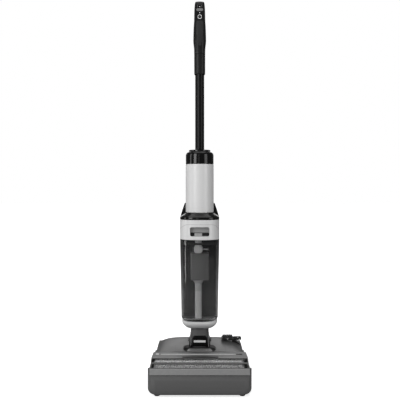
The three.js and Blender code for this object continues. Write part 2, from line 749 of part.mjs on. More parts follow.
function rollerCover() {
  const hood = [
    ...arc(rollerY, rollerZ, hoodRadius, 102, 78, 3),
    [hoodCrease - 6, hoodHigh - 2.6],
    [hoodCrease, hoodHigh - 3.6],
    [hoodEdge, hoodHigh - 6.2],
    [hoodEdge, hoodHigh - 6.2 - HOOD_WALL],
    [hoodCrease, hoodHigh - 3.6 - HOOD_WALL],
    [hoodCrease - 6, hoodHigh - 2.6 - HOOD_WALL],
    ...arc(rollerY, rollerZ, hoodRadius - HOOD_WALL, 78, 102, 3),
  ];
  const bar = [
    ...arc(rollerY, rollerZ, barRadius, 180 - BAR_HIGH_ANGLE, 180 - BAR_LOW_ANGLE, 2),
    ...arc(rollerY, rollerZ, barRadius - BAR_WALL, 180 - BAR_LOW_ANGLE, 180 - BAR_HIGH_ANGLE, 2),
  ];
  const cheek = [
    [hoodEdge, hoodHigh - 6.2],
    [hoodCrease, hoodHigh - 3.6],
    ...arc(rollerY, rollerZ, hoodRadius + 0.4, 78, 115, 4),
    ...arc(rollerY, rollerZ, barRadius, 175 - BAR_HIGH_ANGLE, 180 - BAR_LOW_ANGLE, 3),
    ...arc(rollerY, rollerZ, cheekRadius, 154, 190, 4),
    [rollerY - 14, rollerZ - 18],
    [rollerY + 32, rollerZ - 14],
    [hoodEdge, rollerZ + 12],
  ];
  const holes = LATCHES.map(({ x, width }) => latchHole(x, width + 2 * SLIP));
  return without(
    joined(
      prism(hood, "X", -cheekOut, cheekOut),
      prism(bar, "X", -cheekOut, cheekOut),
      prism(cheek, "X", -cheekOut, -cheekIn),
      prism(cheek, "X", cheekIn, cheekOut),
    ),
    ...holes,
  );
}
piece(cover, "roller_cover", rollerCover(), "headPlastic");
const windowRadius = hoodRadius - HOOD_WALL - 2 * GAP - 0.2;
const rollerWindow = [
  ...arc(rollerY, rollerZ, windowRadius, 97, 143, 8),
  ...arc(rollerY, rollerZ, windowRadius - WINDOW_WALL, 143, 97, 8),
];
piece(cover, "roller_window", prism(rollerWindow, "X", leftArmIn + 0.6, rollerRight + 1.4), "clear");
for (const { name, x, width } of LATCHES) {
  const outline = roundedRectangle(x, hoodCrease, width, 9 - 2 * SLIP, 4, 4);
  piece(group(machine), name, prism(outline, "Z", hoodHigh - 9.5, hoodHigh - 1.4), "lightPlastic");
}

// ---------------------------------------------------------------- cleaning tool on the shoulder of the head

const tool = group(machine);
const toolTop = toolBottom + 5;
const ringX = toolX + BRUSH_WIDTH / 2 + 12;
const toolPlate = (outline) => prism(outline, "Z", toolBottom + 3, toolTop);
const toolHandle = without(
  joined(
    toolPlate(roundedRectangle(toolX, toolY, BRUSH_WIDTH, 30, 5)),
    toolPlate(roundedRectangle(ringX - 9, toolY, 16, 12, 3)),
    toolPlate(circle(ringX, toolY, TOOL_RING_RADIUS)),
  ),
  rod("Z", ringX, toolY, TOOL_RING_RADIUS - 4, toolBottom, toolTop + 1, 20),
);
const toolBelly = prism(roundedRectangle(toolX, toolY, TOOL_BELLY, 24, 4), "Z", toolBottom, toolBottom + 4);
piece(tool, "cleaning_tool", joined(toolHandle, toolBelly), "blackPlastic");
piece(
  tool,
  "tool_bristles",
  prism(roundedRectangle(toolX, toolY, BRUSH_WIDTH - 5, 25, 4), "Z", toolTop + GAP, toolTop + 6.5),
  "lightPlastic",
);

// ---------------------------------------------------------------- neck

const neck = group(machine);
const neckRing = (width, depth, y, z) => atHeight(roundedRectangle(0, y, width, depth, depth * 0.42, 4), z);
const neckBody = joined(
  loft([
    neckRing(NECK_WIDTH, NECK_DEPTH - 4, pivotY - 6, pivotZ),
    neckRing(NECK_WIDTH, NECK_DEPTH, bodyY + 2, pivotZ + 22),
    neckRing(NECK_WIDTH, NECK_DEPTH, bodyY, pivotZ + 40),
    neckRing(NECK_WIDTH, NECK_DEPTH, bodyY, neckTop),
  ]),
  rod("X", pivotY, pivotZ, BOSS_RADIUS, -NECK_WIDTH / 2, NECK_WIDTH / 2, 32),
  // trunnions that the machine reclines on
  rod("X", pivotY, pivotZ, TRUNNION_RADIUS, -slotHalf - TRUNNION_LENGTH + 4, slotHalf + TRUNNION_LENGTH - 4, 24),
  // black pad over the front of the neck
  box(-22, 22, bodyY - NECK_DEPTH / 2 - 4, bodyY, pivotZ + 22, pivotZ + 39),
);
const neckBore = rod("Z", 0, bodyY + 4, NECK_BORE + GAP, pivotZ - BOSS_RADIUS - 1, neckTop + 1, 24);
piece(neck, "neck_yoke", neckBody.subtract(neckBore), "blackPlastic");
piece(
  neck,
  "suction_hose",
  without(
    rod("Z", 0, bodyY + 4, NECK_BORE, pivotZ - 14, neckTop - 1, 24),
    rod("Z", 0, bodyY + 4, NECK_BORE - HOSE_WALL, pivotZ - 16, neckTop + 1, 24),
  ),
  "rubber",
);

// ---------------------------------------------------------------- body

const body = group(machine);

// Outline of the body's front: a flat back, straight flanks and an elliptical nose.
function frontOutline(half, nose, back, inset = 0, steps = 14) {
  const points = [[half - inset, back]];
  const flank = bodyY - 10;
  for (let i = 0; i <= steps; i++) {
    const angle = (Math.PI * i) / steps;
    const bulge = (value) => Math.sign(value) * Math.abs(value) ** 0.86;
    const x = (half - inset) * bulge(Math.cos(angle));
    points.push([x, flank - (nose - 10 - inset) * Math.abs(Math.sin(angle)) ** 0.86]);
  }
  points.push([-half + inset, back]);
  return points.reverse();
}

function baseCup() {
  const ring = (width, depth, z) => atHeight(roundedRectangle(0, bodyY, width, depth, depth * 0.42, 5), z);
  const wide = 2 * TANK_BOTTOM_HALF_WIDTH;
  const outside = loft([
    ring(CUP_BOTTOM_WIDTH, CUP_BOTTOM_WIDTH - 6, cupBottom),
    ring(CUP_BOTTOM_WIDTH + 4, CUP_BOTTOM_WIDTH - 2, cupBottom + 1.5),
    ring(wide - 14, wide - 22, cupBottom + 11),
    ring(wide - 5, wide - 12, cupBottom + 17),
    ring(wide - 2, wide - 9, cupTop),
  ]);
  const hollow = loft([
    ring(CUP_BOTTOM_WIDTH - 8, CUP_BOTTOM_WIDTH - 14, cupBottom + 4),
    ring(wide - 22, wide - 30, cupBottom + 12),
    ring(wide - 12, wide - 20, cupTop + 1),
  ]);
  return without(outside, hollow, rod("Z", 0, bodyY + 4, NECK_BORE, cupBottom - 1, cupTop, 24));
}
piece(body, "base_cup", baseCup(), "whitePlastic");

function rearSpine() {
  const centre = (spineFront + spineBack) / 2;
  const outline = roundedRectangle(0, centre, 2 * SPINE_HALF_WIDTH, SPINE_DEPTH, 9, 3);
  const width = 2 * (SPINE_HALF_WIDTH - SPINE_WALL);
  const room = roundedRectangle(0, centre, width, SPINE_DEPTH - 2 * SPINE_WALL, 6, 3);
  return without(
    prism(outline, "Z", tankBottom, lidTop),
    prism(room, "Z", tankBottom + SPINE_WALL, lidTop + 1),
  );
}
piece(body, "rear_spine", rearSpine(), "blackPlastic");
piece(
  body,
  "water_pump",
  prism(roundedRectangle(0, (spineFront + spineBack) / 2, 40, 18, 4), "Z", tankBottom + 8, tankBottom + 40),
  "blackPlastic",
);

function shoulder() {
  const ring = (outline, z) => atHeight(outline, z);
  const tubeOutline = (inset) => {
    const outline = frontOutline(TUBE_RADIUS, TUBE_RADIUS, bodyY + TUBE_RADIUS * 0.55, inset);
    return outline;
  };
  const wide = frontOutline(BODY_HALF_WIDTH, BODY_FRONT, tankBackY + 6);
  const front = loft([
    ring(wide, shoulderBottom),
    ring(wide, shoulderBottom + 5),
    ring(tubeOutline(-2), shoulderTop - 1.5),
    ring(tubeOutline(-1), shoulderTop),
  ]);
  const back = (half, y0, y1, z) => atHeight(
    roundedRectangle(0, (y0 + y1) / 2, 2 * half, y1 - y0, Math.min(12, (y1 - y0) * 0.3), 3),
    z,
  );
  const wings = loft([
    back(BODY_HALF_WIDTH, tankBackY - 12, spineBack + 6, shoulderBottom),
    back(BODY_HALF_WIDTH, tankBackY - 12, spineBack + 6, shoulderBottom + 6),
    back(TUBE_RADIUS + 11, tankBackY - 2, spineBack, shoulderTop + 6),
    back(TUBE_RADIUS + 3, tankBackY + 4, spineBack - 6, shoulderTop + WING_HEIGHT),
  ]);
  const tubeRoom = rod("Z", 0, bodyY, TUBE_RADIUS + GAP, shoulderTop, shoulderTop + WING_HEIGHT + 5, 40);
  const intake = rod("Z", 0, bodyY, 16, shoulderBottom - 1, shoulderTop + 1, 24);
  const fanRoom = rod("Z", 0, bodyY, TUBE_RADIUS - TUBE_WALL, shoulderBottom + 4, shoulderTop + 1, 32);
  return without(joined(front, wings), tubeRoom, intake, fanRoom);
}
piece(body, "shoulder", shoulder(), "blackGloss");

const upright = (radius, from, to, sides) => rod("Z", 0, bodyY, radius, from, to, sides);
piece(
  body,
  "motor_tube",
  without(
    upright(TUBE_RADIUS, tubeBottom, tubeTop, 44),
    upright(TUBE_RADIUS - TUBE_WALL, tubeBottom - 1, tubeTop + 1, 44),
  ),
  "whitePlastic",
);

function lathe(profile, sides) {
  const geometry = new THREE.LatheGeometry(profile.map(([r, z]) => new THREE.Vector2(r, z)), sides);
  return solidOf(geometry.rotateX(Math.PI / 2).translate(0, bodyY, 0));
}

const socketBottom = poleBottom - GAP;
const releaseZ = capBottom + 20;
const releaseRadius = 6;
function topCap() {
  const outside = lathe(
    [
      [0, capBottom],
      [TUBE_RADIUS, capBottom],
      [TUBE_RADIUS, capTop - 12],
      [TUBE_RADIUS - 1.5, capTop - 6],
      [TUBE_RADIUS - 4.5, capTop - 2.5],
      [TUBE_RADIUS - 9.5, capTop],
      [0, capTop],
    ],
    44,
  );
  const inside = upright(TUBE_RADIUS - TUBE_WALL, capBottom - 1, capTop - 13, 36);
  const socket = rod("Z", 0, poleY, POLE_RADIUS + SLIP + SOCKET_WALL, socketBottom - 3, capTop - 5, 24);
  return without(
    joined(outside.subtract(inside), socket),
    rod("Z", 0, poleY, POLE_RADIUS + SLIP, socketBottom, capTop + 1, 24),
    rod("Y", 0, releaseZ, releaseRadius + SLIP, bodyY + TUBE_RADIUS - 5, bodyY + TUBE_RADIUS + 2, 20),
  );
}
piece(body, "top_cap", topCap(), "blackGloss");

const releaseFront = poleY + POLE_RADIUS + SLIP + SOCKET_WALL + RELEASE_TRAVEL + 0.2;
piece(
  group(machine),
  "pole_release",
  rod("Y", 0, releaseZ, releaseRadius, releaseFront, bodyY + TUBE_RADIUS + 1.4, 20),
  "blackPlastic",
);

const fanTop = tubeBottom + 8 + IMPELLER_HEIGHT;
const motorStart = fanTop + 2;
const batteryStart = motorStart + FAN_MOTOR_HEIGHT + 4;
piece(body, "suction_motor", upright(FAN_MOTOR_RADIUS, motorStart, motorStart + FAN_MOTOR_HEIGHT, 32), "steel");
piece(
  body,
  "battery_pack",
  prism(
    roundedRectangle(0, bodyY, BATTERY_WIDTH, BATTERY_WIDTH, 8),
    "Z",
    batteryStart,
    batteryStart + BATTERY_HEIGHT,
  ),
  "blackPlastic",
);

function impeller() {
  const bottom = tubeBottom + 8;
  const disc = upright(IMPELLER_RADIUS, bottom + IMPELLER_HEIGHT - 2, fanTop, 32);
  const hub = upright(7, bottom, fanTop, 20);
  const vanes = [];
  const vaneCount = 7;
  for (let i = 0; i < vaneCount; i++) {
    const vane = new THREE.BoxGeometry(IMPELLER_RADIUS - 6, 1.4, IMPELLER_HEIGHT - 1);
    vane.translate((IMPELLER_RADIUS + 4) / 2, 0, bottom + (IMPELLER_HEIGHT - 1) / 2);
    vane.rotateZ((2 * Math.PI * i) / vaneCount);
    vanes.push(solidOf(vane.translate(0, bodyY, 0)));
  }
  return joined(disc, hub, ...vanes);
}
piece(group(machine), "impeller", impeller(), "lightPlastic");

// ---------------------------------------------------------------- dirty water tank

const tank = group(machine);

function tankSolid(inset, bottom, top) {
  const half = (z) => {
    const share = (z - tankBottom) / TANK_HEIGHT;
    return TANK_BOTTOM_HALF_WIDTH + 1 + (BODY_HALF_WIDTH - TANK_BOTTOM_HALF_WIDTH - 1) * share;
  };
  const ring = (z, tuck) => {
    const width = half(z) - tuck;
    const nose = BODY_FRONT - (half(tankTop) - half(z)) - tuck;
    return atHeight(frontOutline(width, nose, tankBackY - inset, inset), z);
  };
  return loft([
    ring(bottom, 8),
    ring(bottom + 2.2, 3.8),
    ring(bottom + 6, 1.2),
    ring(bottom + 12, 0),
    ring(top, 0),
  ]);
}

const innerTubeY = tankBackY - TANK_WALL - FILTER_DEPTH / 2 - 1.5;
const tankShell = without(
  tankSolid(0, tankBottom, tankTop),
  tankSolid(TANK_WALL, tankBottom + TANK_WALL, tankTop + 1),
  rod("Z", INNER_TUBE_X, innerTubeY, INNER_TUBE_RADIUS - INNER_TUBE_WALL, tankBottom - 1, tankBottom + 9, 20),
);
piece(tank, "tank_shell", tankShell, "smokedClear");

const recessBottom = lidBottom + RECESS_RISE;
const recessMiddle = recessBottom + RECESS_HEIGHT / 2;
const noseY = bodyY - BODY_FRONT;
const recessBack = noseY + RECESS_DEPTH;

function tankLid() {
  const outline = frontOutline(BODY_HALF_WIDTH, BODY_FRONT, tankBackY);
  const inner = frontOutline(BODY_HALF_WIDTH, BODY_FRONT, tankBackY - TANK_WALL, TANK_WALL);
  const wall = 2.5;
  const recess = roundedRectangle(0, recessMiddle, RECESS_WIDTH, RECESS_HEIGHT, 5, 3);
  const around = roundedRectangle(0, recessMiddle, RECESS_WIDTH + 2 * wall, RECESS_HEIGHT + 2 * wall, 6, 3);
  const room = prism(inner, "Z", lidBottom - 1, lidTop - wall);
  const recessBox = prism(around, "Y", noseY - 1, recessBack + wall);
  return without(
    prism(outline, "Z", lidBottom, lidTop),
    room.subtract(recessBox),
    prism(recess, "Y", noseY - 10, recessBack),
    prism(roundedRectangle(INNER_TUBE_X, recessBack - 8, 22.6, 7.6, 1.5, 2), "Z", recessBottom - 5, recessBottom + 1),
  );
}
piece(tank, "tank_lid", tankLid(), "whitePlastic");

const sealOutline = (inset) => frontOutline(BODY_HALF_WIDTH - 1, BODY_FRONT - 1, tankBackY - inset, inset);
piece(
  tank,
  "lid_seal",
  without(
    prism(sealOutline(TANK_WALL + 1), "Z", tankTop - 6, tankTop),
    prism(sealOutline(TANK_WALL + 3.5), "Z", tankTop - 7, tankTop + 1),
  ),
  "rubber",
);

const filterBottom = tankBottom + FILTER_RISE;
const filterTop = filterBottom + FILTER_HEIGHT;
const filterBox = joined(
  prism(roundedRectangle(0, innerTubeY, FILTER_WIDTH, FILTER_DEPTH, 3, 2), "Z", filterBottom, filterTop),
  rod("Z", INNER_TUBE_X, innerTubeY, INNER_TUBE_RADIUS, filterTop - 1, lidBottom + 8, 20),
);
piece(tank, "filter_box", filterBox, "lightPlastic");

const tubeFloor = tankBottom + TANK_WALL + GAP;
const funnelTop = filterBottom - GAP;
const suctionTube = without(
  joined(
    rod("Z", INNER_TUBE_X, innerTubeY, INNER_TUBE_RADIUS, tubeFloor, funnelTop - 6, 20),
    rod("Z", INNER_TUBE_X, innerTubeY, INNER_TUBE_RADIUS + 5, funnelTop - 7, funnelTop, 20),
  ),
  rod("Z", INNER_TUBE_X, innerTubeY, INNER_TUBE_RADIUS - INNER_TUBE_WALL, tubeFloor - 1, funnelTop + 1, 20),
);
piece(tank, "suction_tube", suctionTube, "lightPlastic");

const floatBottom = filterTop + 5;
const tankFloat = without(
  joined(
    prism(
      roundedRectangle(INNER_TUBE_X, innerTubeY, 30, 30, 5),
      "Z",
      floatBottom,
      floatBottom + FLOAT_HEIGHT,
    ),
    box(INNER_TUBE_X + 10, 26, innerTubeY - 3, innerTubeY + 3, floatBottom + 4, floatBottom + 8),
  ),
  rod("Z", INNER_TUBE_X, innerTubeY, INNER_TUBE_RADIUS + SLIP, floatBottom - 1, floatBottom + 20, 20),
);
piece(group(machine), "tank_float", tankFloat, "whitePlastic");

const tabBottom = recessBottom - 2;
piece(
  group(machine),
  "tank_release",
  prism(roundedRectangle(INNER_TUBE_X, recessBack - 8, 22, 7, 1.5, 2), "Z", tabBottom, recessBottom + 9),
  "lightPlastic",
);

// ---------------------------------------------------------------- clean water tank

const clean = group(machine);
const cleanTop = lidTop - 1;
const cleanBottom = cleanTop - CLEAN_HEIGHT;
const cleanFront = spineBack + GAP;
const fillZ = cleanTop - FILL_DROP;
const fillFace = cleanFront + CLEAN_DEPTH + 2;

function cleanOutline(inset) {
  const half = CLEAN_HALF_WIDTH - inset;
  const flank = cleanFront + 12;
  const bulge = (value) => Math.sign(value) * Math.abs(value) ** 0.8;
  const points = [[-half, cleanFront + inset], [half, cleanFront + inset]];
  const steps = 12;
  for (let i = 0; i <= steps; i++) {
    const angle = (Math.PI * i) / steps;
    points.push([half * bulge(Math.cos(angle)), flank + (CLEAN_DEPTH - 12 - inset) * Math.sin(angle) ** 0.8]);
  }
  return points;
}
const fillerNeck = rod("Y", 0, fillZ, FILL_RADIUS + 4, fillFace - 8, fillFace, 24);
const cleanTank = without(
  joined(prism(cleanOutline(0), "Z", cleanBottom, cleanTop), fillerNeck),
  prism(cleanOutline(CLEAN_WALL), "Z", cleanBottom + CLEAN_WALL, cleanTop - CLEAN_WALL),
  rod("Y", 0, fillZ, FILL_RADIUS, fillFace - 12, fillFace + 1, 24),
);
piece(clean, "clean_tank", cleanTank, "smokedClear");
const capHingeZ = fillZ - FILL_RADIUS - 6;
const fillCap = joined(
  rod("Y", 0, fillZ, FILL_RADIUS + 4, fillFace + GAP, fillFace + 3.5, 24),
  rod("Y", 0, fillZ, FILL_RADIUS - 3, fillFace - 2, fillFace + 1, 20),
  box(-6, 6, fillFace + GAP, fillFace + 3.5, capHingeZ - 2, fillZ),
);
piece(group(machine), "fill_cap", fillCap, "rubber");

// ---------------------------------------------------------------- pole and handle

const handle = group(machine);
piece(
  handle,
  "handle_pole",
  without(
    rod("Z", 0, poleY, POLE_RADIUS, poleBottom, sleeveTop - 8, 24),
    rod("Z", 0, poleY, POLE_RADIUS - POLE_WALL, poleBottom - 1, sleeveTop, 24),
  ),
  "blackPole",
);
const sleeveOutline = roundedRectangle(0, poleY, SLEEVE_WIDTH, SLEEVE_WIDTH + 2, 15, 5);
piece(
  handle,
  "handle_sleeve",
  without(
    prism(sleeveOutline, "Z", sleeveBottom, sleeveTop),
    rod("Z", 0, poleY, POLE_RADIUS + GAP, sleeveBottom - 1, sleeveTop - 7, 24),
  ),
  "blackPlastic",
);

// The grip's sections: height above its bottom, width, depth and how far back it leans.
const GRIP_SECTIONS = [
  [0, 33, 34, 0],
  [18, 34, 37, -1],
  [36, 38, 42, -1.5],
  [56, 37.5, 41, 0],
  [80, 36, 37, 3],
  [102, 33.5, 33, 6.5],
  [120, 33, 31, 9.5],
  [142, 31, 28, 13],
  [154, 28, 24, 15],
  [GRIP_LENGTH, 21, 16, 16],
];
function gripSolid(inset) {
  const rings = GRIP_SECTIONS.map(([rise, width, depth, lean], i) => {
    const end = i === 0 ? inset : i === GRIP_SECTIONS.length - 1 ? -inset : 0;
    const [w, d] = [width - 2 * inset, depth - 2 * inset];
    return atHeight(roundedRectangle(0, poleY + lean, w, d, Math.min(w, d) * 0.42, 4), gripBottom + rise + end);
  });
  return loft(rings);
}

function leanAt(rise) {
  const next = GRIP_SECTIONS.findIndex(([height]) => height >= rise);
  if (next <= 0) return GRIP_SECTIONS[0][3];
  const [h0, , , lean0] = GRIP_SECTIONS[next - 1];
  const [h1, , , lean1] = GRIP_SECTIONS[next];
  return lean0 + ((lean1 - lean0) * (rise - h0)) / (h1 - h0);
}

// Everything behind (1) or in front of (-1) the parting face of the grip's shells, which follows its lean.
function beyondParting(direction) {
  const line = [-2, ...GRIP_SECTIONS.slice(1, -1).map(([rise]) => rise), GRIP_LENGTH + 2].map((rise) => {
    const lean = leanAt(Math.min(Math.max(rise, 0), GRIP_LENGTH));
    return [poleY + lean - (direction * GAP) / 2, gripBottom + rise];
  });
  const far = poleY + direction * 60;
  return prism([...line, [far, gripBottom + GRIP_LENGTH + 2], [far, gripBottom - 2]], "X", -40, 40);
}

const SKIN = 2.2;
const panelBottom = gripBottom + 101;
const panelTop = gripBottom + 146;
const insertBottom = gripBottom + 22;
const insertTop = panelBottom - 4;
const powerZ = panelTop - 14;
const modeZ = panelBottom + 8;

function frontZone(half, z0, z1, radius, slack) {
  const outline = roundedRectangle(0, (z0 + z1) / 2, 2 * (half + slack), z1 - z0 + 2 * slack, radius, 4);
  return prism(outline, "Y", poleY - 40, poleY + 4);
}
const whole = gripSolid(0);
const core = gripSolid(SKIN);
const hollow = gripSolid(GRIP_WALL);
const shells = whole.subtract(hollow);
const frontHalf = shells.subtract(beyondParting(1));
const buttons = [
  { name: "power_button", z: powerZ, width: 20, height: 8, radius: 3.9 },
  { name: "mode_button", z: modeZ, width: 15, height: 15, radius: 7.4 },
];
function buttonPrism({ z, width, height, radius }, slack, from, to) {
  const outline = roundedRectangle(0, z, width + 2 * slack, height + 2 * slack, radius + slack, 5);
  return prism(outline, "Y", from, to);
}
const deep = poleY - 40;
const buttonRooms = buttons.map((button) => buttonPrism(button, SLIP, deep, poleY + leanAt(button.z - gripBottom) - 6));
const panelZone = frontZone(13, panelBottom, panelTop, 4, 0);
const insertZone = frontZone(11, insertBottom, insertTop, 8, 0);
piece(
  handle,
  "handle_front",
  without(
    frontHalf,
    frontZone(13, panelBottom, panelTop, 4, GAP).subtract(core),
    frontZone(11, insertBottom, insertTop, 8, GAP).subtract(core),
    ...buttonRooms,
  ),
  "blackPlastic",
);
piece(handle, "handle_rear", shells.subtract(beyondParting(-1)), "blackPlastic");
const outerSkin = whole.subtract(gripSolid(SKIN - GAP));
piece(handle, "control_panel", without(outerSkin.intersect(panelZone), ...buttonRooms), "blackGloss");
piece(handle, "grip_insert", outerSkin.intersect(insertZone), "blackPlastic");
for (const button of buttons) {
  const lean = poleY + leanAt(button.z - gripBottom);
  const key = buttonPrism(button, 0, deep, lean - 6 - BUTTON_TRAVEL - GAP);
  const proud = whole.translate([0, -0.5, 0]).intersect(key);
  piece(group(machine), button.name, proud, "lightPlastic");
}

const boardY = poleY + 8;
piece(handle, "handle_board", box(-8, 8, boardY, boardY + 1.6, panelBottom + 3, panelTop - 6), "blackPlastic");

export default machine;
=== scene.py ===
"""Upright wet and dry floor washer parked on its dock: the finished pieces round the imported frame.

Numbers are millimetres until they reach Blender, which works in metres. Every finished piece's object
sits at the origin, with its place in its mesh.
"""

import json
import math
import random

import bpy
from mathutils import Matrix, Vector


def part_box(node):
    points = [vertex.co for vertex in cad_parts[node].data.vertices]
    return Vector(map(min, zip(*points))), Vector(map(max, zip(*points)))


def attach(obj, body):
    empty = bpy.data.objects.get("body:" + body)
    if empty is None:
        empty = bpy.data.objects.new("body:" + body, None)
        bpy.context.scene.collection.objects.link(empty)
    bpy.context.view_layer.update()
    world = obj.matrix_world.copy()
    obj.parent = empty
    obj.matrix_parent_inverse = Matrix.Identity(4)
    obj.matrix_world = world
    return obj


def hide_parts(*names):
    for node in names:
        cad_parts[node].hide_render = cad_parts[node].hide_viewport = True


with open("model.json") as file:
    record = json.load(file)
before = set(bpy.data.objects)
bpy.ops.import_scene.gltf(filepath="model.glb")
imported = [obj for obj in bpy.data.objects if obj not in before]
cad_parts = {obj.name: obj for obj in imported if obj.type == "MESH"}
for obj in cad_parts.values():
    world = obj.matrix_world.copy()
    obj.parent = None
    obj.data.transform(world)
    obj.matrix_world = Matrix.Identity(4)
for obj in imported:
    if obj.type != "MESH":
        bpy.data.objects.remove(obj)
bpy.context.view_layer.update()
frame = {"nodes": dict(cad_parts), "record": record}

ops = bpy.ops
MM = 0.001
SLOT_OF = {row["node"]: row["material_slot"] for row in frame["record"]["subparts"]}
BODY_OF = {node: body for body, nodes in frame["record"]["behaviour"]["bodies"].items() for node in nodes}


def span(node):
    """A CAD node's box in millimetres: x0, x1, y0, y1, z0, z1."""
    low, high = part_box(node)
    return [value / MM for pair in zip(low, high) for value in pair]


# ------------------------------------------------------------------ the machine's main places

BODY_Y = 40.0  # axis of the tube and the tank
PIVOT_Y, PIVOT_Z = 54.0, 74.0
ROLLER_X0, ROLLER_X1, *_roller = span("roller_fabric")
ROLLER_Y, ROLLER_Z = (_roller[0] + _roller[1]) / 2, (_roller[2] + _roller[3]) / 2
PILE_RADIUS = (_roller[3] - _roller[2]) / 2
DOCK_X0, DOCK_X1, DOCK_Y0, DOCK_Y1, DOCK_Z0, DOCK_Z1 = span("dock_shell")
# the seat of the tank and the top of the neck stand a little higher than on the frame
SEAT_LIFT, NECK_LIFT = 7.0, 9.0
LIP_X0, LIP_X1, LIP_Y0, LIP_Y1, LIP_Z0, LIP_Z1 = span("dock_front_lip")
LIP_X0, LIP_X1 = LIP_X0 + 2.5, LIP_X1 - 2.5
TANK_Z0, TANK_Z1 = span("tank_shell")[4] + SEAT_LIFT, span("tank_shell")[5]
LID_Z0, LID_Z1 = span("tank_lid")[4:]
SHOULDER_Z0 = span("shoulder")[4]
TUBE_Z0, TUBE_Z1 = span("motor_tube")[4:]
CAP_Z0, CAP_Z1 = span("top_cap")[4:]
CUP_Z0, CUP_Z1 = span("base_cup")[4] + NECK_LIFT, span("base_cup")[5] + SEAT_LIFT
POLE_Z0, POLE_Z1 = span("handle_pole")[4:]
SLEEVE_Z0, SLEEVE_Z1 = span("handle_sleeve")[4:]
GRIP_Z0 = span("handle_front")[4]
POLE_Y = 58.0
TRAY_Z = 34.0
BODY_HALF = 58.0
TUBE_RADIUS = 41.5
TANK_BACK = 52.0
COVER_X1, COVER_Y0, COVER_Y1, COVER_Z0 = span("head_top_cover")[1:5]
HOOD_RADIUS = 34.5
HOOD_EDGE = -41.6
HOOD_CREASE = ROLLER_Y + HOOD_RADIUS - 0.5
HOOD_TOP = ROLLER_Z + HOOD_RADIUS
CHEEK_OUT = 131.5
BAR_RADIUS = 36.5


# ------------------------------------------------------------------ modelling by operators

AXES = {"X": (0, 1, 2), "Y": (1, 0, 2), "Z": (2, 0, 1)}  # along, across, up


def place(axis, level, across, up):
    """A point in metres from a level along an axis and the two other measures."""
    spot = [0.0, 0.0, 0.0]
    for index, value in zip(AXES[axis], (level, across, up)):
        spot[index] = value * MM
    return Vector(spot)


def clear_selection():
    if bpy.context.mode != "OBJECT":
        ops.object.mode_set(mode="OBJECT")
    ops.object.select_all(action="DESELECT")


def pick_up(*pieces):
    clear_selection()
    for piece in pieces:
        piece.select_set(True)
    bpy.context.view_layer.objects.active = pieces[0]


def put_down():
    """Leaves edit mode with the faces outwards and the piece's place in its mesh."""
    ops.mesh.select_all(action="SELECT")
    ops.mesh.normals_make_consistent(inside=False)
    ops.object.mode_set(mode="OBJECT")
    ops.object.transform_apply(location=True, rotation=True, scale=True)
    return bpy.context.object


def draw(points, axis, level, closed=True):
    """Draws an outline by extruding one vertex from point to point, and fills it."""
    clear_selection()
    ops.mesh.primitive_plane_add(size=MM)
    ops.object.mode_set(mode="EDIT")
    ops.mesh.select_mode(type="VERT")
    ops.mesh.merge(type="CENTER")
    last = place(axis, level, *points[0])
    ops.transform.translate(value=last)
    for across, up in points[1:]:
        spot = place(axis, level, across, up)
        ops.mesh.extrude_vertices_move(TRANSFORM_OT_translate={"value": spot - last})
        last = spot
    ops.mesh.select_all(action="SELECT")
    if closed:
        ops.mesh.edge_face_add()


def extrude(axis, distance, across=0.0, up=0.0):
    ops.mesh.extrude_region_move(TRANSFORM_OT_translate={"value": place(axis, distance, across, up)})


def prism(points, axis, start, end):
    draw(points, axis, start)
    extrude(axis, end - start)
    return put_down()


def loft(points, axis, levels):
    """An outline carried through levels of (level, width, height, middle across, middle up)."""
    low = [min(p[i] for p in points) for i in (0, 1)]
    high = [max(p[i] for p in points) for i in (0, 1)]
    level, width, height, across, up = levels[0]
    fit = [width / (high[0] - low[0]), height / (high[1] - low[1])]
    mid = [(low[i] + high[i]) / 2 for i in (0, 1)]
    draw([(across + (u - mid[0]) * fit[0], up + (v - mid[1]) * fit[1]) for u, v in points], axis, level)
    first, second = AXES[axis][1:]
    for before, after in zip(levels, levels[1:]):
        extrude(axis, after[0] - before[0], after[3] - before[3], after[4] - before[4])
        grow = [1.0, 1.0, 1.0]
        grow[first], grow[second] = after[1] / before[1], after[2] / before[2]
        ops.transform.resize(value=grow, center_override=place(axis, after[0], after[3], after[4]))
    return put_down()


def turned(profile, axis, across, up, sides=64):
    """A turned piece. The profile is (radius, level) pairs, and both ends close flat."""
    clear_selection()
    turn = {"X": (0, math.pi / 2, 0), "Y": (math.pi / 2, 0, 0), "Z": (0, 0, 0)}[axis]
    radius, level = profile[0]
    spot = place(axis, level, across, up)
    ops.mesh.primitive_circle_add(vertices=sides, radius=radius * MM, fill_type="NGON", location=spot, rotation=turn)
    ops.object.transform_apply(location=True, rotation=True, scale=True)
    ops.object.mode_set(mode="EDIT")
    ops.mesh.select_all(action="SELECT")
    for (r0, z0), (r1, z1) in zip(profile, profile[1:]):
        extrude(axis, z1 - z0)
        grow = [r1 / r0] * 3
        grow[AXES[axis][0]] = 1.0
        ops.transform.resize(value=grow, center_override=place(axis, z1, across, up))
    return put_down()


def hoop(profile, axis, across, up, sides=64):
    """A closed profile of (radius, level) pairs spun round an axis, for tubes and rings."""
    if axis == "Z":
        draw([(across + r, z) for r, z in profile], "Y", up)
    elif axis == "X":
        draw([(z, up + r) for r, z in profile], "Y", across)
    else:
        draw([(z, up + r) for r, z in profile], "X", across)
    ops.mesh.delete(type="ONLY_FACE")
    ops.mesh.select_all(action="SELECT")
    round_axis = place(axis, 1 / MM, 0, 0)
    ops.mesh.spin(steps=sides, angle=2 * math.pi, center=place(axis, 0, across, up), axis=round_axis)
    ops.mesh.select_all(action="SELECT")
    ops.mesh.remove_doubles(threshold=1e-6)
    return put_down()


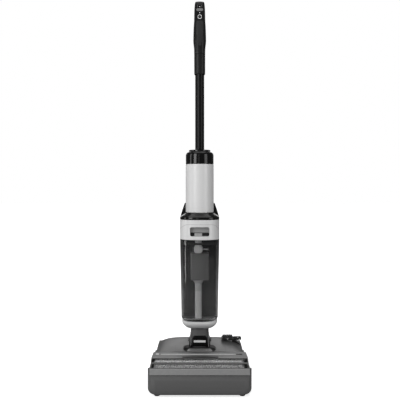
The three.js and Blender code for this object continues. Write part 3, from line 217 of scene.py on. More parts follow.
def block(x0, x1, y0, y1, z0, z1):
    clear_selection()
    middle = [(x0 + x1) / 2 * MM, (y0 + y1) / 2 * MM, (z0 + z1) / 2 * MM]
    size = [(x1 - x0) * MM, (y1 - y0) * MM, (z1 - z0) * MM]
    ops.mesh.primitive_cube_add(size=1, location=middle, scale=size)
    ops.object.transform_apply(location=True, rotation=True, scale=True)
    return bpy.context.object


def rod(axis, across, up, radius, start, end, sides=48):
    return turned([(radius, start), (radius, end)], axis, across, up, sides)


def shaped(piece, kind, **settings):
    pick_up(piece)
    modifier = piece.modifiers.new(kind.lower(), kind)
    for name, value in settings.items():
        setattr(modifier, name, value)
    ops.object.modifier_apply(modifier=modifier.name)
    return piece


def soften(piece, width, segments=3, angle=35):
    """Rounds the edges sharper than an angle."""
    return shaped(
        piece, "BEVEL", width=width * MM, segments=segments, limit_method="ANGLE", angle_limit=math.radians(angle)
    )


def combine(piece, tools, operation):
    for tool in tools:
        shaped(piece, "BOOLEAN", operation=operation, solver="EXACT", object=tool)
        bpy.data.objects.remove(tool)
    return piece


def cut(piece, *tools):
    return combine(piece, tools, "DIFFERENCE")


def weld(piece, *others):
    return combine(piece, others, "UNION")


def kept_inside(piece, tool):
    return combine(piece, [tool], "INTERSECT")


def join(*pieces):
    """Separate solids in one object."""
    pick_up(*pieces)
    if len(pieces) > 1:
        ops.object.join()
    return bpy.context.object


def copy_of(piece):
    pick_up(piece)
    ops.object.duplicate(linked=False)
    return bpy.context.object


def moved(piece, x=0.0, y=0.0, z=0.0):
    pick_up(piece)
    ops.transform.translate(value=(x * MM, y * MM, z * MM))
    ops.object.transform_apply(location=True, rotation=False, scale=False)
    return piece


def turned_by(piece, degrees, axis, centre):
    pick_up(piece)
    ops.transform.rotate(
        value=math.radians(degrees), orient_axis=axis, center_override=[value * MM for value in centre]
    )
    ops.object.transform_apply(location=True, rotation=True, scale=False)
    return piece


def repeated(piece, count, x=0.0, y=0.0, z=0.0):
    """The piece and its copies at equal steps, in one object."""
    return shaped(
        piece,
        "ARRAY",
        count=count,
        use_relative_offset=False,
        use_constant_offset=True,
        constant_offset_displace=(x * MM, y * MM, z * MM),
    )


def fitted(piece, name, finish, stands_for=None, rides=None, angle=35, even=True):
    """Smooths, names and dresses a finished piece, and says what it rides on."""
    pick_up(piece)
    ops.object.shade_smooth_by_angle(angle=math.radians(angle))
    if even:
        shaped(piece, "WEIGHTED_NORMAL", keep_sharp=True, weight=60)
    piece.name = piece.data.name = name
    material, slot = FINISHES[finish]
    piece.data.materials.clear()
    piece.data.materials.append(material)
    if stands_for:
        nodes = [stands_for] if isinstance(stands_for, str) else list(stands_for)
        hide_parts(*nodes)
        rides = rides or BODY_OF[nodes[0]]
    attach(piece, rides)
    return piece


# ------------------------------------------------------------------ outlines


def arc(across, up, radius, start, end, steps=12, flat=1.0):
    points = []
    for step in range(steps + 1):
        angle = math.radians(start + (end - start) * step / steps)
        points.append((across + radius * math.cos(angle), up + radius * flat * math.sin(angle)))
    return points


def rounded(across, up, width, height, radius, steps=8):
    u, v = width / 2 - radius, height / 2 - radius
    return (
        arc(across + u, up + v, radius, 0, 90, steps)
        + arc(across - u, up + v, radius, 90, 180, steps)
        + arc(across - u, up - v, radius, 180, 270, steps)
        + arc(across + u, up - v, radius, 270, 360, steps)
    )


def filleted(points, radius, steps=5):
    """An outline with its corners rounded off."""
    made = []
    count = len(points)
    for i, corner in enumerate(points):
        corner = Vector(corner)
        before, after = Vector(points[i - 1]), Vector(points[(i + 1) % count])
        back, ahead = before - corner, after - corner
        reach = min(radius, back.length * 0.45, ahead.length * 0.45)
        start, end = corner + back.normalized() * reach, corner + ahead.normalized() * reach
        for step in range(steps + 1):
            t = step / steps
            made.append(tuple(start * (1 - t) ** 2 + corner * 2 * t * (1 - t) + end * t**2))
    return made


def body_front(half, nose, back, inset=0.0, steps=44):
    """The body's outline from above: a flat back, straight flanks and a full round nose."""
    points = [(half - inset, back)]
    for step in range(steps + 1):
        angle = math.pi * step / steps
        c, s = math.cos(angle), math.sin(angle)
        across = (half - inset) * math.copysign(abs(c) ** 0.86, c)
        points.append((across, BODY_Y - 10 - (nose - 10 - inset) * abs(s) ** 0.86))
    points.append((-half + inset, back))
    return points


def eased(table, at):
    """Smooth values between a table's rows of (place, value, value...)."""
    last = len(table) - 1
    i = max(0, min(last - 1, sum(1 for row in table[1:] if row[0] <= at)))
    before, start, end, after = table[max(0, i - 1)], table[i], table[i + 1], table[min(last, i + 2)]
    length = end[0] - start[0]
    t = max(0.0, min(1.0, (at - start[0]) / length))
    values = []
    for a, b, c, d in zip(before[1:], start[1:], end[1:], after[1:]):
        rise_b = (c - a) / (end[0] - before[0]) * length
        rise_c = (d - b) / (after[0] - start[0]) * length
        values.append(
            b * (2 * t**3 - 3 * t**2 + 1) + rise_b * (t**3 - 2 * t**2 + t)
            + c * (3 * t**2 - 2 * t**3) + rise_c * (t**3 - t**2)
        )
    return values

# ------------------------------------------------------------------ finishes


class Board:
    """Lays out the nodes of one tree."""

    def __init__(self, tree):
        self.tree = tree

    def node(self, kind, settings=None, **inputs):
        made = self.tree.nodes.new("ShaderNode" + kind)
        for name, value in (settings or {}).items():
            setattr(made, name, value)
        for name, value in inputs.items():
            self.feed(made.inputs[name.replace("_", " ")], value)
        return made

    def feed(self, socket, value):
        if isinstance(value, bpy.types.NodeSocket):
            self.tree.links.new(value, socket)
        elif isinstance(value, float) and socket.type == "RGBA":
            socket.default_value = (value, value, value, 1.0)
        else:
            socket.default_value = value

    def math(self, operation, *values, clamp=False):
        made = self.node("Math", {"operation": operation, "use_clamp": clamp})
        for socket, value in zip(made.inputs, values):
            self.feed(socket, value)
        return made.outputs[0]

    def mix(self, factor, first, second, blend="MIX"):
        made = self.node("Mix", {"data_type": "RGBA", "blend_type": blend})
        for index, value in ((0, factor), (6, first), (7, second)):
            self.feed(made.inputs[index], value)
        return made.outputs[2]

    def between(self, value, low, high, to_low=0.0, to_high=1.0):
        made = self.node("MapRange", {"clamp": True}, Value=value, From_Min=low, From_Max=high)
        made.inputs["To Min"].default_value = to_low
        made.inputs["To Max"].default_value = to_high
        return made.outputs[0]

    def here(self, stretch=None):
        """The piece's own coordinates, stretched where a finish runs one way."""
        spot = self.node("TexCoord").outputs["Object"]
        if stretch is None:
            return spot
        return self.node("Mapping", Vector=spot, Scale=stretch).outputs[0]

    def noise(self, scale, detail=2.0, roughness=0.5, where=None):
        made = self.node("TexNoise", Vector=where or self.here(), Scale=scale, Detail=detail, Roughness=roughness)
        return made.outputs["Fac"]

    def height_along(self, axis):
        split = self.node("SeparateXYZ", Vector=self.here())
        return split.outputs[axis]

    def use(self, group, **inputs):
        made = self.tree.nodes.new("ShaderNodeGroup")
        made.node_tree = group
        for name, value in inputs.items():
            self.feed(made.inputs[name.replace("_", " ")], value)
        return made.outputs[0]


def effect(name, output, inputs):
    """A shared effect: its group, its board, its inputs and the socket that it gives out."""
    group = bpy.data.node_groups.new(name, "ShaderNodeTree")
    for label, kind, value in inputs:
        socket = group.interface.new_socket(label, in_out="INPUT", socket_type="NodeSocket" + kind)
        socket.default_value = value
    group.interface.new_socket(output[0], in_out="OUTPUT", socket_type="NodeSocket" + output[1])
    board = Board(group)
    given = group.nodes.new("NodeGroupInput").outputs
    result = group.nodes.new("NodeGroupOutput").inputs[0]
    return group, board, given, result


GREY = (0.5, 0.5, 0.5, 1.0)


def mould_tint():
    """Colour that drifts a little over a moulding, as regrind and flow lines make it."""
    group, board, given, result = effect(
        "Mould tint", ("Color", "Color"), [("Color", "Color", GREY), ("Spread", "Float", 0.06)]
    )
    drift = board.math("ADD", board.noise(9.0, 3.0), board.math("MULTIPLY", board.noise(60.0, 4.0), 0.5))
    swing = board.math("MULTIPLY", board.math("SUBTRACT", drift, 0.75), given["Spread"])
    tone = board.node("HueSaturation", Color=given["Color"], Value=board.math("ADD", swing, 1.0))
    board.feed(result, tone.outputs[0])
    return group


def edge_highlight():
    """Edges painted a little paler: a painted highlight along them."""
    group, board, given, result = effect(
        "Edge rub",
        ("Color", "Color"),
        [("Color", "Color", GREY), ("Rubbed", "Color", GREY), ("Amount", "Float", 0.2)],
    )
    point = board.node("NewGeometry").outputs["Pointiness"]
    edge = board.between(point, 0.51, 0.58)
    patch = board.between(board.noise(140.0, 4.0), 0.35, 0.65)
    factor = board.math("MULTIPLY", board.math("MULTIPLY", edge, patch), given["Amount"])
    board.feed(result, board.mix(factor, given["Color"], given["Rubbed"]))
    return group


def settled_dust():
    """A thin film of dust on what faces up."""
    group, board, given, result = effect(
        "Settled dust", ("Color", "Color"), [("Color", "Color", GREY), ("Amount", "Float", 0.1)]
    )
    up = board.node("SeparateXYZ", Vector=board.node("NewGeometry").outputs["Normal"]).outputs["Z"]
    film = board.math("MULTIPLY", board.between(up, 0.3, 1.0), board.between(board.noise(38.0, 5.0), 0.3, 0.8))
    speck = board.between(board.noise(900.0, 1.0), 0.66, 0.74)
    both = board.math("ADD", film, board.math("MULTIPLY", speck, 0.35))
    factor = board.math("MULTIPLY", both, given["Amount"], clamp=True)
    board.feed(result, board.mix(factor, given["Color"], (0.42, 0.42, 0.41, 1.0)))
    return group


def handling_marks():
    """Roughness broken up by wiping, with finer streaks."""
    group, board, given, result = effect(
        "Handling marks", ("Roughness", "Float"), [("Roughness", "Float", 0.4), ("Spread", "Float", 0.1)]
    )
    smear = board.noise(24.0, 4.0)
    streak = board.noise(70.0, 3.0, where=board.here((9.0, 9.0, 0.7)))
    swing = board.math("SUBTRACT", board.math("ADD", smear, board.math("MULTIPLY", streak, 0.5)), 0.75)
    spread = board.math("MULTIPLY", swing, given["Spread"])
    board.feed(result, board.math("ADD", given["Roughness"], spread, clamp=True))
    return group


def spark_grain():
    """The fine spark-eroded grain of a mould, as a height."""
    group, board, given, result = effect(
        "Spark grain", ("Height", "Float"), [("Scale", "Float", 1400.0), ("Coarse", "Float", 0.4)]
    )
    fine = board.node("TexVoronoi", {"feature": "SMOOTH_F1"}, Vector=board.here(), Scale=given["Scale"])
    coarse = board.node("TexNoise", Vector=board.here(), Scale=board.math("MULTIPLY", given["Scale"], 0.3), Detail=3.0)
    height = board.math("ADD", fine.outputs["Distance"], board.math("MULTIPLY", coarse.outputs["Fac"], given["Coarse"]))
    board.feed(result, height)
    return group


def melange_and_tuft_shade():
    """Dark and pale fibres mixed in clumps, from 0 to 1. The pile also uses this value as its height, so the low places
    between the tufts come out darker: painted shade.
    """
    group, board, given, result = effect(
        "Melange", ("Mix", "Float"), [("Clump", "Float", 260.0), ("Fibre", "Float", 1500.0)]
    )
    clump = board.node("TexNoise", Vector=board.here(), Scale=given["Clump"], Detail=3.0, Roughness=0.6)
    strand = board.node("TexNoise", Vector=board.here((1.0, 0.35, 0.35)), Scale=given["Fibre"], Detail=2.0)
    mixed = board.math("ADD", clump.outputs["Fac"], board.math("MULTIPLY", strand.outputs["Fac"], 0.45))
    board.feed(result, board.between(mixed, 0.52, 0.92))
    return group


MOULD_TINT, EDGE_HIGHLIGHT, DUST = mould_tint(), edge_highlight(), settled_dust()
MARKS, GRAIN, MELANGE_AND_TUFT_SHADE = handling_marks(), spark_grain(), melange_and_tuft_shade()


def blank(name):
    material = bpy.data.materials.new(name)
    material.use_nodes = True
    board = Board(material.node_tree)
    surface = material.node_tree.nodes["Principled BSDF"]
    return material, board, surface


def plastic(name, colour, roughness, grain=0.05, scale=1400.0, coat=0.0, dust=0.04, edge_glint=0.15, spread=0.05, sheen=0.5):
    """A moulded plastic: colour drift, painted highlights on its edges, dust, wiping marks and the mould's grain."""
    material, board, surface = blank(name)
    tint = board.use(MOULD_TINT, Color=colour, Spread=spread)
    # the edges are painted paler here: a painted highlight
    highlighted = board.use(EDGE_HIGHLIGHT, Color=tint, Rubbed=min(1.0, colour * 2.2 + 0.05), Amount=edge_glint)
    board.feed(surface.inputs["Base Color"], board.use(DUST, Color=highlighted, Amount=dust))
    board.feed(surface.inputs["Roughness"], board.use(MARKS, Roughness=roughness, Spread=0.12))
    bump = board.node("Bump", Strength=grain, Distance=0.0002, Height=board.use(GRAIN, Scale=scale))
    board.feed(surface.inputs["Normal"], bump.outputs[0])
    surface.inputs["Coat Weight"].default_value = coat
    surface.inputs["Coat Roughness"].default_value = 0.06
    surface.inputs["Specular IOR Level"].default_value = sheen
    return material


def clear_plastic(name, tint, shade, roughness=0.04, lower=None, bend=1.45):
    """Clear moulded plastic. Light for what is inside comes straight through it."""
    material, board, surface = blank(name)
    colour = board.use(MOULD_TINT, Color=tint, Spread=0.03)
    if lower:
        level, paler = lower
        below = board.between(board.height_along("Z"), (level - 1) * MM, (level + 1) * MM, 1.0, 0.0)
        colour = board.mix(below, colour, paler)
    board.feed(surface.inputs["Base Color"], colour)
    board.feed(surface.inputs["Roughness"], board.use(MARKS, Roughness=roughness, Spread=0.03))
    surface.inputs["Transmission Weight"].default_value = 1.0
    surface.inputs["IOR"].default_value = bend
    passing = board.node("BsdfTransparent", Color=shade)
    switch = board.node("MixShader", Fac=board.node("LightPath").outputs["Is Shadow Ray"])
    board.feed(switch.inputs[1], surface.outputs[0])
    board.feed(switch.inputs[2], passing.outputs[0])
    board.feed(material.node_tree.nodes["Material Output"].inputs["Surface"], switch.outputs[0])
    return material


def metal(name, colour, roughness, run, metallic=1.0, spread=0.1):
    """Metal with fine lines that run one way."""
    material, board, surface = blank(name)
    lines = board.noise(420.0, 3.0, where=board.here(run))
    colour_here = board.mix(board.between(lines, 0.3, 0.7), colour * (1 - spread), colour * (1 + spread))
    board.feed(surface.inputs["Base Color"], board.use(DUST, Color=colour_here, Amount=0.03))
    board.feed(surface.inputs["Roughness"], board.use(MARKS, Roughness=roughness, Spread=0.15))
    bump = board.node("Bump", Strength=0.06, Distance=0.0001, Height=lines)
    board.feed(surface.inputs["Normal"], bump.outputs[0])
    surface.inputs["Metallic"].default_value = metallic
    return material


def pile(name, dark, pale, clump=260.0, depth=0.0006):
    """Microfibre pile: mixed fibres, with painted shade in the low places between the tufts."""
    material, board, surface = blank(name)
    mixed = board.use(MELANGE_AND_TUFT_SHADE, Clump=clump)
    # dark where the pile is low: mixed fibres and painted shade between the tufts
    board.feed(surface.inputs["Base Color"], board.use(DUST, Color=board.mix(mixed, dark, pale), Amount=0.02))
    board.feed(surface.inputs["Roughness"], board.use(MARKS, Roughness=0.92, Spread=0.1))
    bump = board.node("Bump", Strength=0.7, Distance=depth, Height=mixed)
    board.feed(surface.inputs["Normal"], bump.outputs[0])
    surface.inputs["Sheen Weight"].default_value = 0.25
    surface.inputs["Specular IOR Level"].default_value = 0.2
    return material


def lamp(name, colour, strength):
    """A small lit mark behind its lens, a little uneven."""
    material, board, surface = blank(name)
    glow = board.mix(board.noise(600.0), colour, tuple(min(1.0, c * 1.15) for c in colour))
    board.feed(surface.inputs["Base Color"], glow)
    board.feed(surface.inputs["Emission Color"], glow)
    board.feed(surface.inputs["Roughness"], board.use(MARKS, Roughness=0.3, Spread=0.1))
    surface.inputs["Emission Strength"].default_value = strength
    return material


FINISHES = {
    "dock": (plastic("Dock satin", 0.1, 0.5, grain=0.12, dust=0.06), "dock_plastic"),
    "lip": (plastic("Lip satin", 0.24, 0.42, grain=0.08), "dock_lip"),
    "black": (plastic("Black moulding", 0.01, 0.45, grain=0.1, sheen=0.3), "black_plastic"),
    # near black for seam grooves, and for painted shade in recesses and on the hood's front
    "shade and seam black": (plastic("Dark inside", 0.006, 0.7, grain=0.1, edge_glint=0.0), "black_plastic"),
    "rubber": (plastic("Black rubber", 0.016, 0.78, grain=0.3, scale=900.0, dust=0.12, edge_glint=0.05), "rubber"),
    "tread": (plastic("Wheel tread", 0.022, 0.7, grain=0.3, scale=900.0, dust=0.15, edge_glint=0.1), "wheel_tread"),
    "head": (plastic("Head shell", 0.08, 0.42, grain=0.03, dust=0.05), "head_plastic"),
    "head dark": (plastic("Head shell in shade", 0.02, 0.38, grain=0.05, dust=0.04), "head_plastic"),
    "bar grey": (plastic("Recess bar", 0.13, 0.4, grain=0.05), "grey_plastic"),
    # pale bead colour: a painted highlight along the hood's crease
    "crease": (plastic("Hood bead", 0.42, 0.35, grain=0.03), "head_plastic"),
    "grey": (plastic("Light grey moulding", 0.38, 0.45, grain=0.06), "grey_plastic"),
    "filter": (plastic("Filter grey", 0.085, 0.5, grain=0.1), "filter_grey"),
    "white": (
        plastic("White shell", 0.74, 0.36, grain=0.02, coat=0.1, dust=0.02, edge_glint=0.05, spread=0.02), "white_plastic",
    ),
    "gloss": (
        plastic("Polished black", 0.004, 0.14, grain=0.0, coat=0.0, dust=0.01, edge_glint=0.0, sheen=0.3), "black_gloss",
    ),
    "smoke": (clear_plastic("Smoked tank", 0.62, 0.85, lower=(262.0, 0.74)), "smoked_clear"),
    "window": (clear_plastic("Clear window", 0.9, 0.95, roughness=0.1, bend=1.12), "window_clear"),
    "steel": (metal("Steel", 0.5, 0.3, (1.0, 1.0, 14.0)), "motor_steel"),
    "pole": (metal("Black anodised", 0.013, 0.4, (8.0, 8.0, 0.5), metallic=0.9), "black_pole"),
    "pile": (pile("Roller pile", 0.07, 0.6, clump=300.0), "roller_pile"),
    "bristle": (pile("Black bristle", 0.006, 0.05, clump=500.0), "roller_pile"),
    "neck": (plastic("Neck shell", 0.1, 0.45, grain=0.06, dust=0.03), "black_plastic"),
    "marker": (plastic("Marker bar", 0.75, 0.35, grain=0.02, edge_glint=0.0, dust=0.0), "white_plastic"),
    "panel": (plastic("Panel lens", 0.004, 0.06, grain=0.0, coat=0.8, dust=0.01, edge_glint=0.0), "black_gloss"),
    "inner grey": (plastic("Inner grey", 0.36, 0.5, grain=0.05, edge_glint=0.0, dust=0.0), "grey_plastic"),
    "inner pale": (plastic("Inner pale", 0.62, 0.5, grain=0.05, edge_glint=0.0, dust=0.0), "grey_plastic"),
    # grey for the upper wall of the lid's recess: painted shade on white plastic
    "recess shade grey": (plastic("Recess grey", 0.34, 0.5, grain=0.05, edge_glint=0.0, dust=0.0), "grey_plastic"),
    "seam": (plastic("Seam shade", 0.3, 0.6, grain=0.0, edge_glint=0.0, dust=0.0), "white_plastic"),
    "black satin": (plastic("Black satin", 0.009, 0.42, grain=0.02, dust=0.02, sheen=0.22), "black_plastic"),
    "grip pad": (plastic("Grip pad", 0.022, 0.6, grain=0.12, scale=800.0, dust=0.03, sheen=0.25), "black_plastic"),
    "key": (plastic("Key cap", 0.2, 0.35, grain=0.02, dust=0.0), "grey_plastic"),
    "key dark": (plastic("Dark key cap", 0.03, 0.3, grain=0.02, dust=0.0), "grey_plastic"),
    "clean smoke": (clear_plastic("Clean tank", 0.6, 0.8, roughness=0.12), "smoked_clear"),
    "lit white": (lamp("Lit mark", (0.9, 0.9, 0.9, 1.0), 0.6), "grey_plastic"),
}
SLOT_FINISH = {
    "dock_plastic": "dock", "dock_lip": "lip", "black_plastic": "black", "rubber": "rubber", "wheel_tread": "tread",
    "head_plastic": "head dark", "window_clear": "window", "grey_plastic": "grey", "filter_grey": "filter",
    "roller_pile": "pile", "motor_steel": "steel", "white_plastic": "white", "black_gloss": "gloss",
    "smoked_clear": "smoke", "black_pole": "pole",
}
for node, piece in frame["nodes"].items():
    piece.data.materials.clear()
    piece.data.materials.append(FINISHES[SLOT_FINISH[SLOT_OF[node]]][0])

# ------------------------------------------------------------------ dock


def dock_shell():
    wide, deep = DOCK_X1 - DOCK_X0, DOCK_Y1 - DOCK_Y0
    levels = []
    for step in range(9):
        angle = math.radians(90 * step / 8)
        inset = 11 * (1 - math.sin(angle))
        levels.append((DOCK_Z0 + 15 * (1 - math.cos(angle)), wide - 2 * inset, deep - inset, 0, 0))
    levels.append((DOCK_Z1, wide, deep, 0, 0))
    shell = loft(rounded(0, 0, wide, deep, 22, 9), "Z", levels)
    front = DOCK_Y0 + 9
    side_top, rear_top = 60, 44
    above = [
        (DOCK_Y0 - 2, DOCK_Z1 + 0.5),
        (front + 1, DOCK_Z1 + 0.5),
        (front + 10, DOCK_Z1 - 6),
        (ROLLER_Y + 12, side_top + 2),
        (ROLLER_Y + 34, side_top),
        (BODY_Y + 8, side_top),
        (BODY_Y + 24, side_top - 5),
        (BODY_Y + 40, rear_top),
        (DOCK_Y1 + 2, rear_top),
        (DOCK_Y1 + 2, 100),
        (DOCK_Y0 - 2, 100),
    ]
    rounded_above = filleted(above[1:8], 9, 6)[6:-6]
    wall = wide / 2 - 3.6
    tray_back = DOCK_Y1 - 32
    well_back = ROLLER_Y + PILE_RADIUS + 8
    pocket = prism(rounded(0, (front + tray_back) / 2, 2 * wall, tray_back - front, 8, 5), "Z", TRAY_Z, 100)
    well = soften(block(-wall + 5, wall - 5, front, well_back, 20, 60), 5, 4)
    rebate = block(LIP_X0 - 0.4, LIP_X1 + 0.4, DOCK_Y0 - 1, LIP_Y1 + 0.4, LIP_Z0 - 0.6, 100)
    chamfer = prism(
        [(DOCK_Y0 - 1, 45), (DOCK_Y0, 48), (DOCK_Y0 + 5.6, LIP_Z0 + 1), (DOCK_Y0 - 1, LIP_Z0 + 1)],
        "X", LIP_X0 - 0.4, LIP_X1 + 0.4,
    )
    room = wide / 2 - 26
    front_room = block(-room, room, DOCK_Y0 + 22, well_back, 0, 17)
    rear_room = block(-room, room, well_back + 3, DOCK_Y1 - 12, 0, 31)
    vents = repeated(soften(block(-41.5, -38.5, DOCK_Y1 - 3, DOCK_Y1 + 2, 15, 30), 1.2, 3), 17, x=5)
    x0, x1, y0, y1, z0, z1 = span("dock_power_inlet")
    inlet = rod("Y", (x0 + x1) / 2, (z0 + z1) / 2, (x1 - x0) / 2 + 0.3, y0 - 8, DOCK_Y1 + 1, 40)
    top = prism([(DOCK_Y0 - 2, DOCK_Z1 + 0.5), *rounded_above, (DOCK_Y1 + 2, rear_top), *above[-2:]], "X", -150, 150)
    cut(shell, top, pocket, well, rebate, chamfer, front_room, rear_room, vents, inlet)
    soften(shell, 0.9, 3, 40)
    fitted(shell, "dock_body", "dock", "dock_shell")

    lip = prism(
        filleted(
            [
                (LIP_Y0, LIP_Z0), (LIP_Y1, LIP_Z0), (LIP_Y1, LIP_Z1),
                (LIP_Y0 + 4.5, LIP_Z1), (LIP_Y0 + 3.2, LIP_Z1 - 1.5),
            ],
            1.0, 4,
        ),
        "X", LIP_X0, LIP_X1,
    )
    fitted(soften(lip, 0.5, 3, 60), "dock_lip", "lip", "dock_front_lip")


def dock_small_parts():
    for end in ("front", "rear"):
        for side in ("left", "right"):
            node = f"dock_foot_{end}_{side}"
            x0, x1, y0, y1, z0, z1 = span(node)
            radius = (x1 - x0) / 2
            foot = turned(
                [
                    (radius - 4, z0 + 0.5), (radius - 3, z0), (radius - 1.6, z0), (radius - 0.9, z0 + 0.6),
                    (radius - 0.7, z0 + 2.2), (radius - 1.1, z0 + 2.5), (radius - 0.7, z0 + 2.8), (radius, z1 - 0.4),
                    (radius, z1),
                ],
                "Z", (x0 + x1) / 2, (y0 + y1) / 2, 40,
            )
            fitted(foot, f"foot_{end}_{side}", "rubber", node)

    x0, x1, y0, y1, z0, z1 = span("dock_charge_post")
    y0 += 3.5
    post = prism(
        filleted([(y0, z0), (y1, z0), (y1, z1 - 5), (y1 - 4, z1), (y0 + 3, z1), (y0, z1 - 3)], 2.5, 4), "X", x0, x1
    )
    window = soften(block(-19, 19, y0 - 1, y0 + 1.2, z0 + 2.4, z0 + 9.6), 1.0, 2)
    cut(post, window)
    fitted(soften(post, 0.8, 3, 45), "charge_post", "black", "dock_charge_post")
    pins = []
    for x in (-12, 12):
        pins.append(
            turned([(1.0, y0 - 1.9), (1.8, y0 - 1.6), (2.2, y0 - 0.9), (2.2, y0 + 1.4)], "Y", x, z0 + 6, 24)
        )
    fitted(join(*pins), "charge_pins", "steel", rides="dock")

    x0, x1, y0, y1, z0, z1 = span("dock_power_inlet")
    across, up, radius = (x0 + x1) / 2, (z0 + z1) / 2, (x1 - x0) / 2
    barrel = turned(
        [
            (radius, y0), (radius, y1 - 0.6), (radius - 0.5, y1), (3.9, y1), (3.5, y1 - 0.4), (3.5, y0 + 3),
        ],
        "Y", across, up, 40,
    )
    pin = turned([(1.0, y0 + 2), (1.0, y1 - 2.4), (0.6, y1 - 2)], "Y", across, up, 16)
    fitted(join(barrel, pin), "power_inlet", "black", "dock_power_inlet")

    # drain ribs moulded in the tray, under the wheels and behind the roller
    ribs = repeated(soften(block(-100, -97, -52, 70, TRAY_Z - 0.5, TRAY_Z + 0.25), 0.24, 2, 40), 2, x=197)
    fitted(ribs, "tray_ribs", "dock", rides="dock")
    screws = []
    for x in (-84, 84):
        for y in (-96, 100):
            head = turned([(3.6, 4.6), (3.6, 4.0), (3.0, 3.6), (1.2, 3.6), (1.0, 4.2)], "Z", x, y, 24)
            screws.append(head)
    fitted(join(*screws), "base_screws", "steel", rides="dock")


dock_shell()
dock_small_parts()

# ------------------------------------------------------------------ floor head

COVER_RISE = [
    (-40, 9.6), (-18, 13.4), (20, 17.4), (48, 19.6), (66, 19.6), (88, 16.5), (104, 10.0), (112, 4.0),
]
PILL_WIDTH, PILL_DEPTH, PILL_FLOOR = 94.0, 49.0, 89.2
PILL_Y = -18.5


def top_cover():
    bottom = COVER_Z0
    head_half = COVER_X1
    crown, drop = 19.9, 18.6
    outline = []
    for step in range(57):
        share = math.cos(math.pi * step / 56)
        outline.append((head_half * share, bottom + crown - drop * abs(share) ** 5.2))
    outline += [(-head_half, bottom), (head_half, bottom)]
    levels = []
    for step in range(29):
        y = COVER_Y0 + (COVER_Y1 - COVER_Y0) * step / 28
        rise = eased(COVER_RISE, y)[0] + 0.3
        half = head_half - max(0.0, y - BODY_Y - 40) * 0.25 - max(0.0, y - 100) ** 2 * 0.04
        levels.append((y, 2 * half, rise, 0, bottom + rise / 2))
    shell = loft(outline, "Y", levels)
    slot_half = 31
    slot = soften(block(-slot_half, slot_half, BODY_Y - 36, COVER_Y1 + 6, bottom - 5, 130), 3, 4)
    pill = prism(rounded(0, PILL_Y, PILL_WIDTH, PILL_DEPTH, 19, 12), "Z", PILL_FLOOR, 130)
    wells = []
    for node in ("rear_wheel_left", "rear_wheel_right"):
        x0, x1, y0, y1, z0, z1 = span(node)
        middle = (x0 + x1) / 2
        half = 10.6
        wells.append(block(middle - half, middle + half, y0 - 1.6, COVER_Y1 + 6, 0, z1 + 1.6))
    cut(shell, pill, slot, *wells)
    soften(shell, 1.1, 3, 38)
    fitted(shell, "head_cover", "head", "head_top_cover", angle=40)


def pill_recess():
    """What the recess in front of the neck holds: its dark tray, painted shade of the recess, and the grip bar."""
    # the tray's near-black lining is painted shade in the recess
    tray_outline = rounded(0, PILL_Y + 2, PILL_WIDTH - 0.6, PILL_DEPTH - 4.6, 18.7, 12)
    tray = prism(tray_outline, "Z", PILL_FLOOR - 1.5, PILL_FLOOR + 2.5)
    well_outline = rounded(0, PILL_Y + 2, PILL_WIDTH - 5, PILL_DEPTH - 9, 16.5, 12)
    well = prism(well_outline, "Z", PILL_FLOOR + 0.5, PILL_FLOOR + 4)
    fitted(soften(cut(tray, well), 0.5, 2), "recess_tray", "shade and seam black", rides="floor_head")
    outline = filleted([(-38, -36), (38, -36), (32, -8), (-32, -8)], 4, 5)
    bar = prism(outline, "Z", PILL_FLOOR + 0.6, PILL_FLOOR + 3.6)
    fitted(soften(bar, 1.0, 3), "recess_bar", "bar grey", rides="floor_head")
    # the studs' pale grey stands for two painted highlights on the bar
    studs = []
    for x in (-31, 19):
        studs.append(turned([(1.9, PILL_FLOOR + 3), (1.9, PILL_FLOOR + 4.2), (1.2, PILL_FLOOR + 4.7)], "Z", x, -25, 20))
    fitted(join(*studs), "recess_studs", "grey", rides="floor_head")


def cover_seams():
    """Fine parting lines on the top cover."""
    strips = []
    for x in (-70, 74):
        points = []
        for y in range(-38, 12, 4):
            rise = eased(COVER_RISE, y)[0] + 0.3
            share = abs(x) / COVER_X1
            z = COVER_Z0 + rise * (1 - 18.6 / 19.9 * share**5.2)
            points.append((y, z + 0.12))
        strip = prism(points + [(y, z - 1.0) for y, z in reversed(points)], "X", x - 0.25, x + 0.25)
        strips.append(strip)
    fitted(join(*strips), "cover_seams", "head dark", rides="floor_head")


def wheel(node, name):
    x0, x1, y0, y1, z0, z1 = span(node)
    half = 9.0
    middle = (x0 + x1) / 2
    across, up = (y0 + y1) / 2, (z0 + z1) / 2
    radius = (z1 - z0) / 2
    tyre = hoop(
        [
            (radius - 6.5, middle - half + 0.6), (radius - 2, middle - half), (radius - 0.5, middle - half + 1.4),
            (radius, middle - half + 3), (radius, middle - 2.4),
            (radius - 0.9, middle - 1.8), (radius - 0.9, middle + 1.8),
            (radius, middle + 2.4), (radius, middle + half - 3), (radius - 0.5, middle + half - 1.4),
            (radius - 2, middle + half), (radius - 6.5, middle + half - 0.6),
        ],
        "X", across, up, 72,
    )
    hub = turned(
        [
            (3.2, x0), (3.2, middle - half + 2.4), (8, middle - half + 1.2), (radius - 10, middle - half + 2.8),
            (radius - 7, middle - half + 1), (radius - 6.3, middle - half + 1), (radius - 6.3, middle + half - 1),
            (radius - 7, middle + half - 1), (radius - 10, middle + half - 2.8), (8, middle + half - 1.2),
            (3.2, middle + half - 2.4), (3.2, x1),
        ],
        "X", across, up, 64,
    )
    fitted(join(tyre), name, "tread", node)
    fitted(hub, name + "_hub", "grey", rides=BODY_OF[node])


